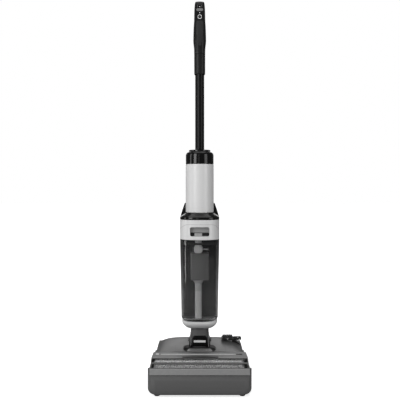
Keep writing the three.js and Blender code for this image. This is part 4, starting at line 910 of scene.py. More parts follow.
def cleaning_tool():
    x0, x1, y0, y1, z0, z1 = span("cleaning_tool")
    middle_y = (y0 + y1) / 2
    ring_x = x1 - 10
    brush_x = x0 + 18
    plate = prism(rounded(brush_x, middle_y, 36, 30, 5, 6), "Z", z0 + 1.5, z1)
    arm = prism(rounded(ring_x - 10, middle_y, 22, 18, 4, 4), "Z", z0 + 0.5, z1)
    belly = prism(rounded(brush_x, middle_y, 22, 24, 4, 5), "Z", z0, z0 + 4)
    weld(plate, arm, belly)
    soften(plate, 0.7, 3, 40)
    clear_selection()
    ops.mesh.primitive_torus_add(
        location=(ring_x * MM, middle_y * MM, (z0 + 4) * MM), major_radius=8 * MM, minor_radius=2 * MM,
        major_segments=48, minor_segments=14,
    )
    ops.object.transform_apply(location=True, rotation=True, scale=True)
    ring = bpy.context.object
    fitted(join(plate, ring), "brush_tool_body", "black", "cleaning_tool")

    x0, x1, y0, y1, z0, z1 = span("tool_bristles")
    base = soften(prism(rounded(brush_x, middle_y, x1 - x0, y1 - y0, 4, 5), "Z", z0, z0 + 1.6), 0.4, 2)
    strand = turned([(1.15, z0 + 1), (1.25, z0 + 4), (1.0, z1 - 0.4), (0.4, z1)], "Z", 0, 0, 7)
    random.seed(11)
    tufts = []
    for row in range(8):
        for column in range(10):
            tuft = copy_of(strand)
            x = x0 + 2 + (x1 - x0 - 4) * column / 9 + random.uniform(-0.3, 0.3)
            y = y0 + 2 + (y1 - y0 - 4) * row / 7 + random.uniform(-0.3, 0.3)
            turned_by(tuft, random.uniform(-6, 6), "Y", (0, 0, z0))
            tufts.append(moved(tuft, x=x, y=y))
    bpy.data.objects.remove(strand)
    fitted(join(base, *tufts), "brush_tool_bristles", "bristle", "tool_bristles", angle=50, even=False)
    # clip that holds the tool on the shoulder of the head
    clip_half, clip_z0, clip_z1, clip_wall = 14, 104, 108.5, 2.6
    clip_outline = [
        (brush_x - clip_half, clip_z0), (brush_x + clip_half, clip_z0),
        (brush_x + clip_half, clip_z1), (brush_x - clip_half, clip_z1),
    ]
    clip = prism(filleted(clip_outline, 1.5, 3), "Y", middle_y - 9, middle_y + 9)
    inner_half = clip_half - clip_wall
    groove = block(brush_x - inner_half, brush_x + inner_half, middle_y - 10, middle_y + 10, 105.2, 112)
    fitted(soften(cut(clip, groove), 0.5, 2), "tool_cradle", "black", rides="floor_head")
    # hook that reaches over the flank of the head and thins towards its tip
    hook_x, hook_step, hook_steps = 97, 2.2, 12
    hook_thick, hook_thinning, hook_lift = 9.5, 0.28, 1.0
    flank_drop, flank_power = 18.6, 5.2
    flank = []
    for step in range(hook_steps):
        x = hook_x + hook_step * step
        flank.append((x, COVER_Z0 + 19.9 - flank_drop * min(1.0, x / COVER_X1) ** flank_power))
    hook_outline = [(x, z + hook_thick - hook_thinning * (x - hook_x)) for x, z in flank]
    hook_outline += [(x, z + hook_lift) for x, z in reversed(flank)]
    hook = prism(hook_outline, "Y", middle_y - 8, middle_y + 5)
    fitted(soften(hook, 0.9, 3, 40), "tool_hook", "black", rides="brush_tool")
    # head of the tool beside the brush; the pale studs on its face and the two pale strokes on the brush are painted
    # highlights
    z0, z1 = span("cleaning_tool")[4:]
    knuckle_front = middle_y - 6
    knuckle_outline = rounded(ring_x - 1, (z0 + z1) / 2 + 0.5, 25, z1 - z0 + 5, 3.5, 5)
    knuckle = prism(knuckle_outline, "Y", knuckle_front, middle_y + 5)
    fitted(soften(knuckle, 1.4, 3, 40), "tool_knuckle", "black", rides="brush_tool")
    marks = []
    for x, z, size in ((ring_x - 6, z0 + 2, 1.7), (ring_x + 6, z0 + 1, 2.1), (ring_x + 1, z1 + 1, 1.5)):
        stud = [(size * 0.6, knuckle_front - 0.7), (size, knuckle_front - 0.4), (size, knuckle_front + 0.6)]
        marks.append(turned(stud, "Y", x, z, 20))
    brush_front, stroke_lean = middle_y - 15, 30
    for side in (-1, 1):
        stroke = block(brush_x - 0.5, brush_x + 0.5, brush_front - 0.3, brush_front + 0.6, z0 + 3, z0 + 7)
        marks.append(turned_by(stroke, stroke_lean * side, "Y", (brush_x, brush_front, z0 + 3)))
    fitted(join(*marks), "tool_marks", "inner pale", rides="brush_tool")


top_cover()
pill_recess()
cover_seams()
wheel("rear_wheel_left", "wheel_left")
wheel("rear_wheel_right", "wheel_right")
cleaning_tool()

# ------------------------------------------------------------------ roller and its cover


def around(radius, start, end, steps):
    """Points on a circle about the roller's axis, as (y, z), by angle from the back over the top."""
    return arc(ROLLER_Y, ROLLER_Z, radius, start, end, steps)


def roller_pile():
    """The pile sleeve: its body, with rows of tufts lying round it."""
    body_radius = PILE_RADIUS - 1.3
    core = 21.3
    sleeve = hoop(
        [
            (core, ROLLER_X0 + 0.2), (body_radius - 1.2, ROLLER_X0), (body_radius, ROLLER_X0 + 1.4),
            *[(body_radius, ROLLER_X0 + 1.4 + (ROLLER_X1 - ROLLER_X0 - 2.8) * i / 60) for i in range(1, 60)],
            (body_radius, ROLLER_X1 - 1.4), (body_radius - 1.2, ROLLER_X1), (core, ROLLER_X1 - 0.2),
        ],
        "X", ROLLER_Y, ROLLER_Z, 120,
    )
    lumps = bpy.data.textures.new("pile lumps", "CLOUDS")
    lumps.noise_scale = 0.007
    lumps.noise_depth = 3
    shaped(sleeve, "DISPLACE", texture=lumps, texture_coords="LOCAL", strength=0.0022, mid_level=0.62)

    random.seed(4)
    points, faces = [], []
    rows = 104
    per_row = 74
    for row in range(rows):
        for place_in_row in range(per_row):
            # the rows run round the roller in a slow spiral, as the sleeve is wound
            x = ROLLER_X0 + 2 + (ROLLER_X1 - ROLLER_X0 - 4) * (row + 0.5 * (place_in_row % 2)) / rows
            x += random.uniform(-0.6, 0.6)
            angle = 2 * math.pi * place_in_row / per_row + row * 0.31 + random.uniform(-0.03, 0.03)
            lean = random.uniform(0.2, 0.55)
            side = random.uniform(-0.5, 0.5)
            radius = body_radius - 0.5
            tip = PILE_RADIUS - random.uniform(0.0, 0.7)
            wide = random.uniform(0.75, 1.1)
            ring = []
            for corner in range(4):
                turn = math.pi / 2 * corner
                ring.append((x + wide * math.cos(turn), angle + wide * math.sin(turn) / radius, radius))
            ring.append((x + side, angle + lean * 2.2 / radius, tip))
            first = len(points)
            for px, pa, pr in ring:
                points.append((px * MM, (ROLLER_Y + pr * math.cos(pa)) * MM, (ROLLER_Z + pr * math.sin(pa)) * MM))
            for corner in range(4):
                faces.append((first + corner, first + (corner + 1) % 4, first + 4))
            faces.append((first + 3, first + 2, first + 1, first))
    mesh = bpy.data.meshes.new("tufts")
    mesh.from_pydata(points, [], faces)
    tufts = bpy.data.objects.new("tufts", mesh)
    bpy.context.scene.collection.objects.link(tufts)
    pick_up(tufts)
    ops.object.mode_set(mode="EDIT")
    put_down()
    sleeve = fitted(join(sleeve, tufts), "roller_sleeve", "pile", "roller_fabric", angle=80, even=False)


def roller_ends():
    x0, x1 = span("roller_end_cap")[:2]
    cap = turned(
        [
            (3.6, x0), (4, x0 + 0.4), (4, ROLLER_X0 - 2.6), (9, ROLLER_X0 - 2.2), (15, ROLLER_X0 - 1.2),
            (21, ROLLER_X0 - 1.8), (23, ROLLER_X0 - 2.4), (23.8, ROLLER_X0 - 1.8), (24, ROLLER_X0 - 0.3),
            (16.6, ROLLER_X0 - 0.3), (16.6, ROLLER_X0 + 9),
        ],
        "X", ROLLER_Y, ROLLER_Z, 72,
    )
    fitted(soften(cap, 0.25, 2, 50), "roller_cap", "grey", "roller_end_cap")
    x0, x1 = span("roller_drive_hub")[:2]
    hub = turned(
        [
            (16.6, ROLLER_X1 - 9), (16.6, ROLLER_X1 + 0.3), (24, ROLLER_X1 + 0.3), (23.8, ROLLER_X1 + 1.3),
            (23.2, ROLLER_X1 + 1.7), (4, ROLLER_X1 + 1.7), (4, x1 - 3.2), (12, x1 - 3.1), (12, x1 - 0.3),
            (11.4, x1), (3, x1),
        ],
        "X", ROLLER_Y, ROLLER_Z, 72,
    )
    fitted(hub, "roller_hub", "grey", "roller_drive_hub")


def hood():
    wall = 2.5
    inner = HOOD_RADIUS - wall
    top = [
        *around(HOOD_RADIUS, 103, 76, 12),
        (HOOD_CREASE - 6, HOOD_TOP - 2.6), (HOOD_CREASE - 2.4, HOOD_TOP - 3.3), (HOOD_EDGE, HOOD_TOP - 6.2),
        (HOOD_EDGE, HOOD_TOP - 6.2 - wall), (HOOD_CREASE, HOOD_TOP - 3.6 - wall),
        (HOOD_CREASE - 6, HOOD_TOP - 2.8 - wall),
        *around(inner, 76, 103, 12),
    ]
    bar = [*around(BAR_RADIUS, 130, 138.5, 6), *around(BAR_RADIUS - 4.4, 138.5, 130, 6)]
    cheek = [
        (HOOD_EDGE, HOOD_TOP - 6.2), (HOOD_CREASE, HOOD_TOP - 3.6), *around(HOOD_RADIUS + 0.4, 78, 115, 14),
        *around(BAR_RADIUS, 124, 147, 10), *around(32.5, 156, 190, 12), (ROLLER_Y - 14, ROLLER_Z - 18),
        (ROLLER_Y + 32, ROLLER_Z - 14), (HOOD_EDGE, ROLLER_Z + 12),
    ]
    shell = prism(top, "X", -CHEEK_OUT, CHEEK_OUT)
    front_bar = soften(prism(bar, "X", -CHEEK_OUT + 1, CHEEK_OUT - 1), 1.1, 4, 50)
    cheeks = [prism(cheek, "X", -CHEEK_OUT, -CHEEK_OUT + 2.5), prism(cheek, "X", CHEEK_OUT - 2.5, CHEEK_OUT)]
    weld(shell, *cheeks)
    holes = []
    for node in ("cover_latch_left", "cover_latch_right"):
        x0, x1, y0, y1 = span(node)[:4]
        outline = rounded((x0 + x1) / 2, (y0 + y1) / 2, x1 - x0 + 0.8, y1 - y0 + 0.8, 3.9, 8)
        holes.append(prism(outline, "Z", HOOD_TOP - 16, HOOD_TOP + 5))
    cut(shell, *holes)
    soften(shell, 0.8, 3, 40)
    fitted(join(shell, front_bar), "roller_hood", "head", "roller_cover", angle=40)

    # bead along the crease, pale as a painted highlight, and the darker band in front of it, painted shade
    bead = prism(
        filleted(
            [
                (HOOD_CREASE - 3.8, HOOD_TOP - 3.8), (HOOD_CREASE - 2.2, HOOD_TOP - 1.5),
                (HOOD_CREASE + 0.8, HOOD_TOP - 1.7), (HOOD_CREASE + 2.4, HOOD_TOP - 4.4),
            ],
            0.6, 3,
        ),
        "X", -108, 100,
    )
    fitted(soften(bead, 0.25, 2, 50), "hood_bead", "crease", rides="roller_hood")
    # a near-black sheet over the middle of the hood's front: painted shade
    inset = prism(
        [
            *around(HOOD_RADIUS + 0.12, 100, 79, 10),
            *around(HOOD_RADIUS - 0.6, 79, 100, 10),
        ],
        "X", -47, 51,
    )
    fitted(inset, "hood_inset", "shade and seam black", rides="roller_hood")

    window = prism(
        [*around(31.3, 97, 143, 24), *around(30.1, 143, 97, 24)], "X", *span("roller_window")[:2]
    )
    fitted(soften(window, 0.2, 2, 50), "hood_window", "window", "roller_window")

    for node, name in (("cover_latch_left", "latch_left"), ("cover_latch_right", "latch_right")):
        x0, x1, y0, y1, z0, z1 = span(node)
        middle = (x0 + x1) / 2
        key = prism(rounded(middle, (y0 + y1) / 2, x1 - x0, y1 - y0, 3.7, 8), "Z", z0, z1)
        soften(key, 0.9, 3, 50)
        grips = []
        count = 3 if x1 - x0 > 12 else 1
        for number in range(count):
            x = middle + (number - (count - 1) / 2) * 3.6
            grips.append(soften(block(x - 0.6, x + 0.6, y0 + 1.6, y1 - 1.6, z1 - 0.3, z1 + 0.5), 0.35, 2))
        finish = "inner pale" if node.endswith("left") else "head dark"
        fitted(join(key, *grips), name, finish, node)


roller_pile()
roller_ends()
hood()

# ------------------------------------------------------------------ neck and body


NECK_TOP = CUP_Z0 - 0.3


def neck():
    outline = rounded(0, 0, 54, 50, 21, 10)
    levels = []
    for step in range(13):
        z = PIVOT_Z + (NECK_TOP - PIVOT_Z) * step / 12
        depth, middle = eased([(74, 46, 48), (96, 50, 42), (114, 50, 40), (NECK_TOP, 50, 40)], z)
        levels.append((z, 54, depth, 0, middle))
    column = loft(outline, "Z", levels)
    boss = soften(rod("X", PIVOT_Y, PIVOT_Z, 23, -27, 27, 72), 1.2, 3, 50)
    trunnions = [rod("X", PIVOT_Y, PIVOT_Z, 6, *sorted((side * 26, side * 39)), 40) for side in (-1, 1)]
    bore = rod("Z", 0, BODY_Y + 4, 13.3, PIVOT_Z - 25, NECK_TOP + 2, 48)
    weld(column, boss, *trunnions)
    cut(column, bore)
    soften(column, 0.7, 3, 45)
    fitted(column, "neck_column", "neck", "neck_yoke", angle=40)
    pad = prism(
        [(-22, 94), (22, 94), *arc(13, 115, 9, 0, 90, 8), *arc(-13, 115, 9, 90, 180, 8)], "Y", 11.2, 30
    )
    fitted(soften(pad, 1.6, 4, 50), "neck_pad", "gloss", rides="neck")
    mark = prism(rounded(0, 108, 35, 6.4, 1.4, 5), "Y", 10.7, 13)
    fitted(soften(mark, 0.35, 2, 50), "neck_marker", "marker", rides="neck")


def base_cup():
    outline = rounded(0, 0, 106, 97, 27, 12)
    levels = []
    table = [
        (CUP_Z0, 73.0, 60.2), (CUP_Z0 + 1.1, 77.6, 64.6), (CUP_Z0 + 3, 82.2, 70.2), (CUP_Z0 + 6, 88.6, 78.6),
        (CUP_Z0 + 9, 93.8, 85.0), (CUP_Z0 + 12, 98.2, 90.0), (CUP_Z0 + 15, 101.4, 94.0), (CUP_Z0 + 18, 103.2, 96.2),
        (CUP_Z1, 104, 97),
    ]
    for z, width, depth in table:
        levels.append((z, width, depth, 0, BODY_Y))
    cup = loft(outline, "Z", levels)
    hollow_levels = [(CUP_Z0 + 5, 64, 58, 0, BODY_Y), (CUP_Z0 + 13, 84, 76, 0, BODY_Y), (CUP_Z1 + 1, 94, 87, 0, BODY_Y)]
    hollow = loft(outline, "Z", hollow_levels)
    cut(cup, hollow, rod("Z", 0, BODY_Y + 4, 13, CUP_Z0 - 1, CUP_Z1, 40))
    fitted(soften(cup, 0.5, 3, 50), "base_cup_shell", "white", "base_cup")
    collar = hoop([(34, CUP_Z0 - 0.25), (36.2, CUP_Z0 - 0.25), (36.2, CUP_Z0 + 0.6), (34, CUP_Z0 + 0.6)], "Z", 0, 0, 72)
    pick_up(collar)
    ops.transform.resize(value=(0.985, 0.9, 1), center_override=(0, 0, 0))
    ops.object.transform_apply(location=True, rotation=True, scale=True)
    fitted(moved(collar, y=BODY_Y), "cup_collar", "black", rides="main_body")


def spine():
    x0, x1, y0, y1, z0, z1 = span("rear_spine")
    z0 += SEAT_LIFT
    shell = prism(rounded(0, (y0 + y1) / 2, x1 - x0, y1 - y0, 9, 8), "Z", z0, z1)
    fitted(soften(shell, 0.8, 3, 50), "spine_shell", "black", "rear_spine")
    grooves = []
    for x in (x0 + 1.0, x1 - 1.0):
        grooves.append(block(x - 1.2, x + 1.2, y0 + 13, y0 + 14.2, z0 + 8, z1 - 8))
    fitted(join(*grooves), "spine_seams", "shade and seam black", rides="main_body")
    heads = []
    for x in (-30, 30):
        screw = [(3.4, y1 - 0.5), (3.4, y1 + 0.1), (2.8, y1 + 0.2), (1.2, y1 + 0.2), (0.9, y1 - 0.4)]
        heads.append(turned(screw, "Y", x, z0 + 20, 24))
    fitted(join(*heads), "spine_screws", "steel", rides="main_body")


def shoulder():
    wide = body_front(BODY_HALF, BODY_HALF, TANK_BACK + 6)
    table = [
        (SHOULDER_Z0, 115.0, 75.2, 20.0), (SHOULDER_Z0 + 0.7, 116.0, 76.0, 20.0), (SHOULDER_Z0 + 6, 116.0, 76.0, 20.0),
        (SHOULDER_Z0 + 8.2, 114.6, 75.0, 20.4), (SHOULDER_Z0 + 13.2, 101.0, 70.4, 24.2),
        (SHOULDER_Z0 + 17.4, 89.6, 67.4, 28.0),
        (SHOULDER_Z0 + 19, 86.6, 66.6, 29.0), (SHOULDER_Z0 + 20, 85.6, 66.0, 29.6),
    ]
    front = loft(wide, "Z", [(z, width, depth, 0, middle) for z, width, depth, middle in table])
    back = rounded(0, 0, 116, 48.3, 12, 6)
    wing_table = [
        (SHOULDER_Z0, 115.0, 47.6, 64.15), (SHOULDER_Z0 + 0.7, 116.0, 48.3, 64.15),
        (SHOULDER_Z0 + 7, 116.0, 48.3, 64.15),
        (SHOULDER_Z0 + 10, 114.4, 46.8, 64.4), (SHOULDER_Z0 + 26, 105.0, 32.3, 66.15),
        (SHOULDER_Z0 + 40, 95.5, 26.0, 66.15),
        (SHOULDER_Z0 + 45.4, 91.0, 22.3, 66.15), (SHOULDER_Z0 + 47, 88.4, 19.8, 66.15),
    ]
    wings = loft(back, "Z", [(z, width, depth, 0, middle) for z, width, depth, middle in wing_table])
    weld(front, wings)
    cut(
        front,
        rod("Z", 0, BODY_Y, TUBE_RADIUS + 0.3, SHOULDER_Z0 + 20, SHOULDER_Z0 + 60, 96),
        rod("Z", 0, BODY_Y, 38.5, SHOULDER_Z0 + 4, SHOULDER_Z0 + 21, 96),
        rod("Z", 0, BODY_Y, 16, SHOULDER_Z0 - 1, SHOULDER_Z0 + 21, 48),
    )
    fitted(soften(front, 0.7, 3, 45), "shoulder_shell", "gloss", "shoulder", angle=40)


def tube_and_cap():
    r = TUBE_RADIUS
    tube = hoop(
        [
            (r - 3, TUBE_Z0 + 0.2), (r - 0.9, TUBE_Z0), (r - 0.3, TUBE_Z0 + 0.3), (r, TUBE_Z0 + 1.0),
            (r, TUBE_Z1 - 1.0), (r - 0.3, TUBE_Z1 - 0.3), (r - 0.9, TUBE_Z1), (r - 3, TUBE_Z1 - 0.2),
        ],
        "Z", 0, BODY_Y, 128,
    )
    fitted(tube, "tube_shell", "white", "motor_tube")
    profile = [
        (r - 1, CAP_Z0), (r - 0.3, CAP_Z0 + 0.3), (r, CAP_Z0 + 1), (r, CAP_Z1 - 17), (r - 0.25, CAP_Z1 - 14.2),
        (r - 1.0, CAP_Z1 - 11.6), (r - 2.3, CAP_Z1 - 9.2), (r - 4.2, CAP_Z1 - 7.2), (r - 6.6, CAP_Z1 - 5.9),
        (r - 8.6, CAP_Z1 - 5.3), (r - 9.2, CAP_Z1 - 4.6), (r - 9.4, CAP_Z1 - 1.4),
        (r - 9.9, CAP_Z1 - 0.4), (r - 10.9, CAP_Z1),
        (8, CAP_Z1),
    ]
    cap = turned(profile, "Z", 0, BODY_Y, 128)
    y0, y1, z0, z1 = span("pole_release")[2:]
    release_z = (z0 + z1) / 2
    cut(
        cap,
        rod("Z", 0, POLE_Y, 13.9, POLE_Z0 - 0.3, CAP_Z1 + 4, 64),
        rod("Y", 0, release_z, 6.4, y0 + 0.6, y1 + 4, 40),
    )
    fitted(soften(cap, 0.4, 3, 50), "cap_shell", "gloss", "top_cap", angle=40)
    collar = hoop(
        [
            (13.7, CAP_Z1 - 2), (15.6, CAP_Z1 - 2), (15.9, CAP_Z1 + 0.6),
            (15.4, CAP_Z1 + 1.5), (14.4, CAP_Z1 + 1.8), (13.7, CAP_Z1 + 1.4),
        ],
        "Z", 0, POLE_Y, 64,
    )
    fitted(collar, "pole_collar", "rubber", rides="main_body")
    lens = prism(rounded(0, BODY_Y - 12, 30, 20, 9.5, 10), "Z", CAP_Z1 - 0.5, CAP_Z1 + 0.45)
    fitted(soften(lens, 0.35, 3, 50), "cap_display", "panel", rides="main_body")
    dots = []
    for number in range(3):
        dot = [(0.9, CAP_Z1 + 0.3), (0.9, CAP_Z1 + 0.5), (0.6, CAP_Z1 + 0.56)]
        dots.append(turned(dot, "Z", (number - 1) * 6.5, BODY_Y - 12, 18))
    fitted(join(*dots), "display_dots", "lit white", rides="main_body")
    key_profile = [(5, y0), (6, y0 + 0.6), (6, y1 - 0.9), (5.4, y1 - 0.2), (4.4, y1), (2.4, y1 - 0.35)]
    key = turned(key_profile, "Y", 0, release_z, 48)
    fitted(key, "release_key", "black", "pole_release")


def neck_cowl():
    """The cheeks of the head that stand on both sides of the neck and sweep down into its cover."""
    for side, name in ((-1, "left"), (1, "right")):
        sweep = [(side * 27.6, 122), (side * 28.4, 122.2)]
        for angle in range(80, -1, -16):
            turn = math.radians(angle)
            sweep.append((side * (39 - 10 * math.sin(turn)), 115 - 13 * math.cos(turn)))
        sweep += [(side * 41, 101), (side * 40, 98), (side * 33, 78), (side * 27.6, 78)]
        cheek = prism(sweep, "Y", 38, 66)
        fitted(soften(cheek, 1.2, 4, 40), f"neck_cheek_{name}", "head", rides="floor_head")


neck()
neck_cowl()
base_cup()
spine()
shoulder()
tube_and_cap()

# ------------------------------------------------------------------ dirty water tank

RECESS_Z0, RECESS_Z1 = LID_Z0 + 18.7, LID_Z0 + 45.7
RECESS_BACK = 2.0
LID_SKIRT = LID_Z0 + 8.4
TANK_FOOT_HALF = 54.0


def tank_half(tuck, z, inset=0.0):
    """Half of the tank's width at a height, which is also how far its nose stands out: it widens towards its top."""
    share = (z - TANK_Z0) / (TANK_Z1 - TANK_Z0)
    half = TANK_FOOT_HALF + (BODY_HALF - TANK_FOOT_HALF) * share
    return half - tuck - inset


def tank_level(z, tuck, inset=0.0):
    half = tank_half(tuck, min(max(z, TANK_Z0), TANK_Z1), inset)
    front, back = BODY_Y - half, TANK_BACK - inset
    return z, 2 * half, back - front, 0, (front + back) / 2


def tank_levels(inset, z0, z1):
    rows = []
    for step in range(8):
        angle = math.radians(90 * step / 7)
        rows.append((z0 + 10 * (1 - math.cos(angle)), 8 * (1 - math.sin(angle))))
    rows += [(z0 + 10 + (z1 - z0 - 10) * i / 6, 0.0) for i in range(1, 7)]
    return [tank_level(z, tuck, inset) for z, tuck in rows]


def tank_shell():
    outline = body_front(BODY_HALF, BODY_HALF, TANK_BACK)
    shell = loft(outline, "Z", tank_levels(0, TANK_Z0, LID_SKIRT - 0.3))
    inside = loft(outline, "Z", tank_levels(2.5, TANK_Z0 + 3, LID_SKIRT + 1))
    x0, x1, y0, y1 = span("suction_tube")[:4]
    tube_x, tube_y = (x0 + x1) / 2, (y0 + y1) / 2
    cut(shell, inside, rod("Z", tube_x, tube_y, 8, TANK_Z0 - 1, TANK_Z0 + 9, 40))
    soften(shell, 0.5, 3, 50)
    fitted(shell, "dirty_tank_shell", "smoke", "tank_shell", angle=40)
    # dark gasket round the foot of the tank, inside its wall
    foot = loft(outline, "Z", [tank_level(TANK_Z0 + 3.4, 5.0), tank_level(TANK_Z0 + 5.2, 4.0)])
    hole = loft(outline, "Z", [tank_level(TANK_Z0 + 3.0, 9.0), tank_level(TANK_Z0 + 5.6, 8.0)])
    fitted(soften(cut(foot, hole), 0.3, 2, 50), "tank_gasket", "rubber", rides="dirty_tank")


def tank_inside():
    x0, x1, y0, y1 = span("suction_tube")[:4]
    tube_x, tube_y = (x0 + x1) / 2, (y0 + y1) / 2
    fx0, fx1, fy0, fy1, fz0 = span("filter_box")[:5]
    top = fz0 + 79
    case = prism(rounded(0, tube_y, fx1 - fx0, fy1 - fy0, 4, 6), "Z", fz0, top)
    soften(case, 1.2, 3, 50)
    ribs = repeated(soften(block(fx0 + 5, fx1 - 5, fy0 - 0.5, fy0 + 1, fz0 + 6, fz0 + 7), 0.3, 2), 12, z=6)
    rim = soften(prism(rounded(0, tube_y, fx1 - fx0 + 1.6, fy1 - fy0 + 1.2, 4.5, 6), "Z", top - 4, top - 0.4), 0.6, 2)
    fitted(join(case, ribs, rim), "filter_case", "filter", "filter_box")
    neck_profile = [(8, top - 1), (10, top - 1), (10, LID_Z0 + 7.6), (9.6, LID_Z0 + 8), (8, LID_Z0 + 8)]
    neck_tube = hoop(neck_profile, "Z", tube_x, tube_y, 56)
    fitted(neck_tube, "filter_neck", "inner pale", rides="dirty_tank")

    z0, z1 = span("suction_tube")[4:]
    z0 += SEAT_LIFT
    riser = hoop(
        [(8, z0), (10, z0), (10, z1 - 12), (11.5, z1 - 8), (15, z1 - 4.5), (15, z1), (8, z1)], "Z", tube_x, tube_y, 56
    )
    fitted(riser, "suction_riser", "inner grey", "suction_tube")

    x0, x1, y0, y1, z0, z1 = span("tank_float")
    outline = rounded(0, 0, 26, 28, 5, 6)
    body = loft(outline, "Z", [
        (z0 - 2.6, 18, 22, tube_x, tube_y), (z0, 24, 27, tube_x, tube_y), (z0 + 2, 26, 28, tube_x, tube_y),
        (z1, 26, 28, tube_x, tube_y), (z1 + 2.2, 22, 25, tube_x, tube_y),
    ])
    hole = rod("Z", tube_x, tube_y, 10.4, z0 - 4, z1 + 4, 56)
    soften(cut(body, hole), 0.9, 3, 50)
    arm = soften(block(tube_x + 12, x1, tube_y - 3, tube_y + 3, z0 + 4.4, z0 + 7.6), 0.8, 3)
    rails = [soften(block(x - 0.7, x + 0.7, y0 + 2, y0 + 3.6, z0 - 3, z1 + 3), 0.3, 2) for x in (x0 - 1.4, x1 - 2.0)]
    fitted(join(body, arm), "float_body", "inner pale", "tank_float")
    fitted(join(*rails), "float_rails", "filter", rides="dirty_tank")


def lid():
    outline = body_front(BODY_HALF, BODY_HALF, TANK_BACK)
    deep = BODY_HALF + TANK_BACK - BODY_Y
    middle = (TANK_BACK + BODY_Y - BODY_HALF) / 2
    levels = [
        (LID_SKIRT, 114.8, deep - 1.2, 0, middle), (LID_SKIRT + 0.5, 115.8, deep - 0.2, 0, middle),
        (LID_SKIRT + 1.2, 116, deep, 0, middle),
        (LID_Z1 - 1.2, 116, deep, 0, middle), (LID_Z1 - 0.5, 115.8, deep - 0.2, 0, middle),
        (LID_Z1, 114.8, deep - 1.2, 0, middle),
    ]
    shell = loft(outline, "Z", levels)
    inner = body_front(BODY_HALF, BODY_HALF, TANK_BACK - 2.5, 2.5)
    room = prism(inner, "Z", LID_Z0 - 1, LID_Z1 - 2.5)
    recess_z = (RECESS_Z0 + RECESS_Z1) / 2
    front = BODY_Y - BODY_HALF
    around_recess = prism(rounded(0, recess_z, 61, 32, 6.5, 8), "Y", front - 1, RECESS_BACK + 2.5)
    cut(room, around_recess)
    x0, x1, y0, y1, z0, z1 = span("tank_release")
    slot_outline = rounded((x0 + x1) / 2, (y0 + y1) / 2, x1 - x0 + 1.2, y1 - y0 + 1.6, 1.9, 4)
    slot = prism(slot_outline, "Z", z0 - 5, RECESS_Z0 + 1)
    recess = soften(prism(rounded(0, recess_z, 56, 27, 5, 10), "Y", front - 20, RECESS_BACK), 1.6, 4, 60)
    cut(shell, room, recess, slot)
    soften(shell, 0.7, 3, 50)
    fitted(shell, "lid_shell", "white", "tank_lid", angle=40)

    # what shows in the recess: a grey upper wall over a dark lower one; the grey is painted shade on the white lid's
    # recess
    back = prism(rounded(0, recess_z + 4.6, 54.6, 16.4, 3.5, 6), "Y", RECESS_BACK - 2.6, RECESS_BACK - 0.1)
    fitted(soften(back, 0.8, 3, 50), "recess_upper", "recess shade grey", rides="dirty_tank")
    lower = prism(rounded(0, recess_z - 8.2, 55, 10, 3.5, 6), "Y", RECESS_BACK - 3.2, RECESS_BACK - 0.2)
    fitted(soften(lower, 0.5, 2, 50), "recess_lower", "shade and seam black", rides="dirty_tank")

    # arched parting line round the lid
    arch = []
    for step in range(61):
        x = -58.4 + 116.8 * step / 60
        arch.append((x, 453.5 - max(0.0, abs(x) - 34) ** 2 * 0.026))
    strip = prism(arch + [(x, z + 0.7) for x, z in reversed(arch)], "Y", BODY_Y - BODY_HALF - 1, TANK_BACK - 3)
    skin = prism(body_front(BODY_HALF + 0.12, BODY_HALF + 0.12, TANK_BACK), "Z", 425, 460)
    core = prism(body_front(BODY_HALF - 1.0, BODY_HALF - 1.0, TANK_BACK + 1), "Z", 424, 461)
    cut(skin, core)
    kept_inside(strip, skin)
    fitted(strip, "lid_seam", "seam", rides="dirty_tank", angle=60, even=False)

    x0, x1, y0, y1, z0, z1 = span("tank_release")
    tab = prism(rounded((x0 + x1) / 2, (y0 + y1) / 2, x1 - x0, y1 - y0, 1.4, 4), "Z", z0, z1)
    soften(tab, 0.8, 3, 50)
    ribs = repeated(soften(block(x0 + 4, x1 - 4, y0 - 0.3, y0 + 0.5, z1 - 6.6, z1 - 5.9), 0.2, 2), 3, z=2)
    fitted(join(tab, ribs), "release_tab", "grey", "tank_release")


# ------------------------------------------------------------------ clean water tank


def clean_outline(inset, half=50.0):
    front = span("clean_tank")[2]
    flank, deep = front + 12, 36.0
    half -= inset
    points = [(-half, front + inset), (half, front + inset)]
    for step in range(41):
        angle = math.pi * step / 40
        c, s = math.cos(angle), abs(math.sin(angle))
        points.append((half * math.copysign(abs(c) ** 0.8, c), flank + (deep - 12 - inset) * s**0.8))
    return points


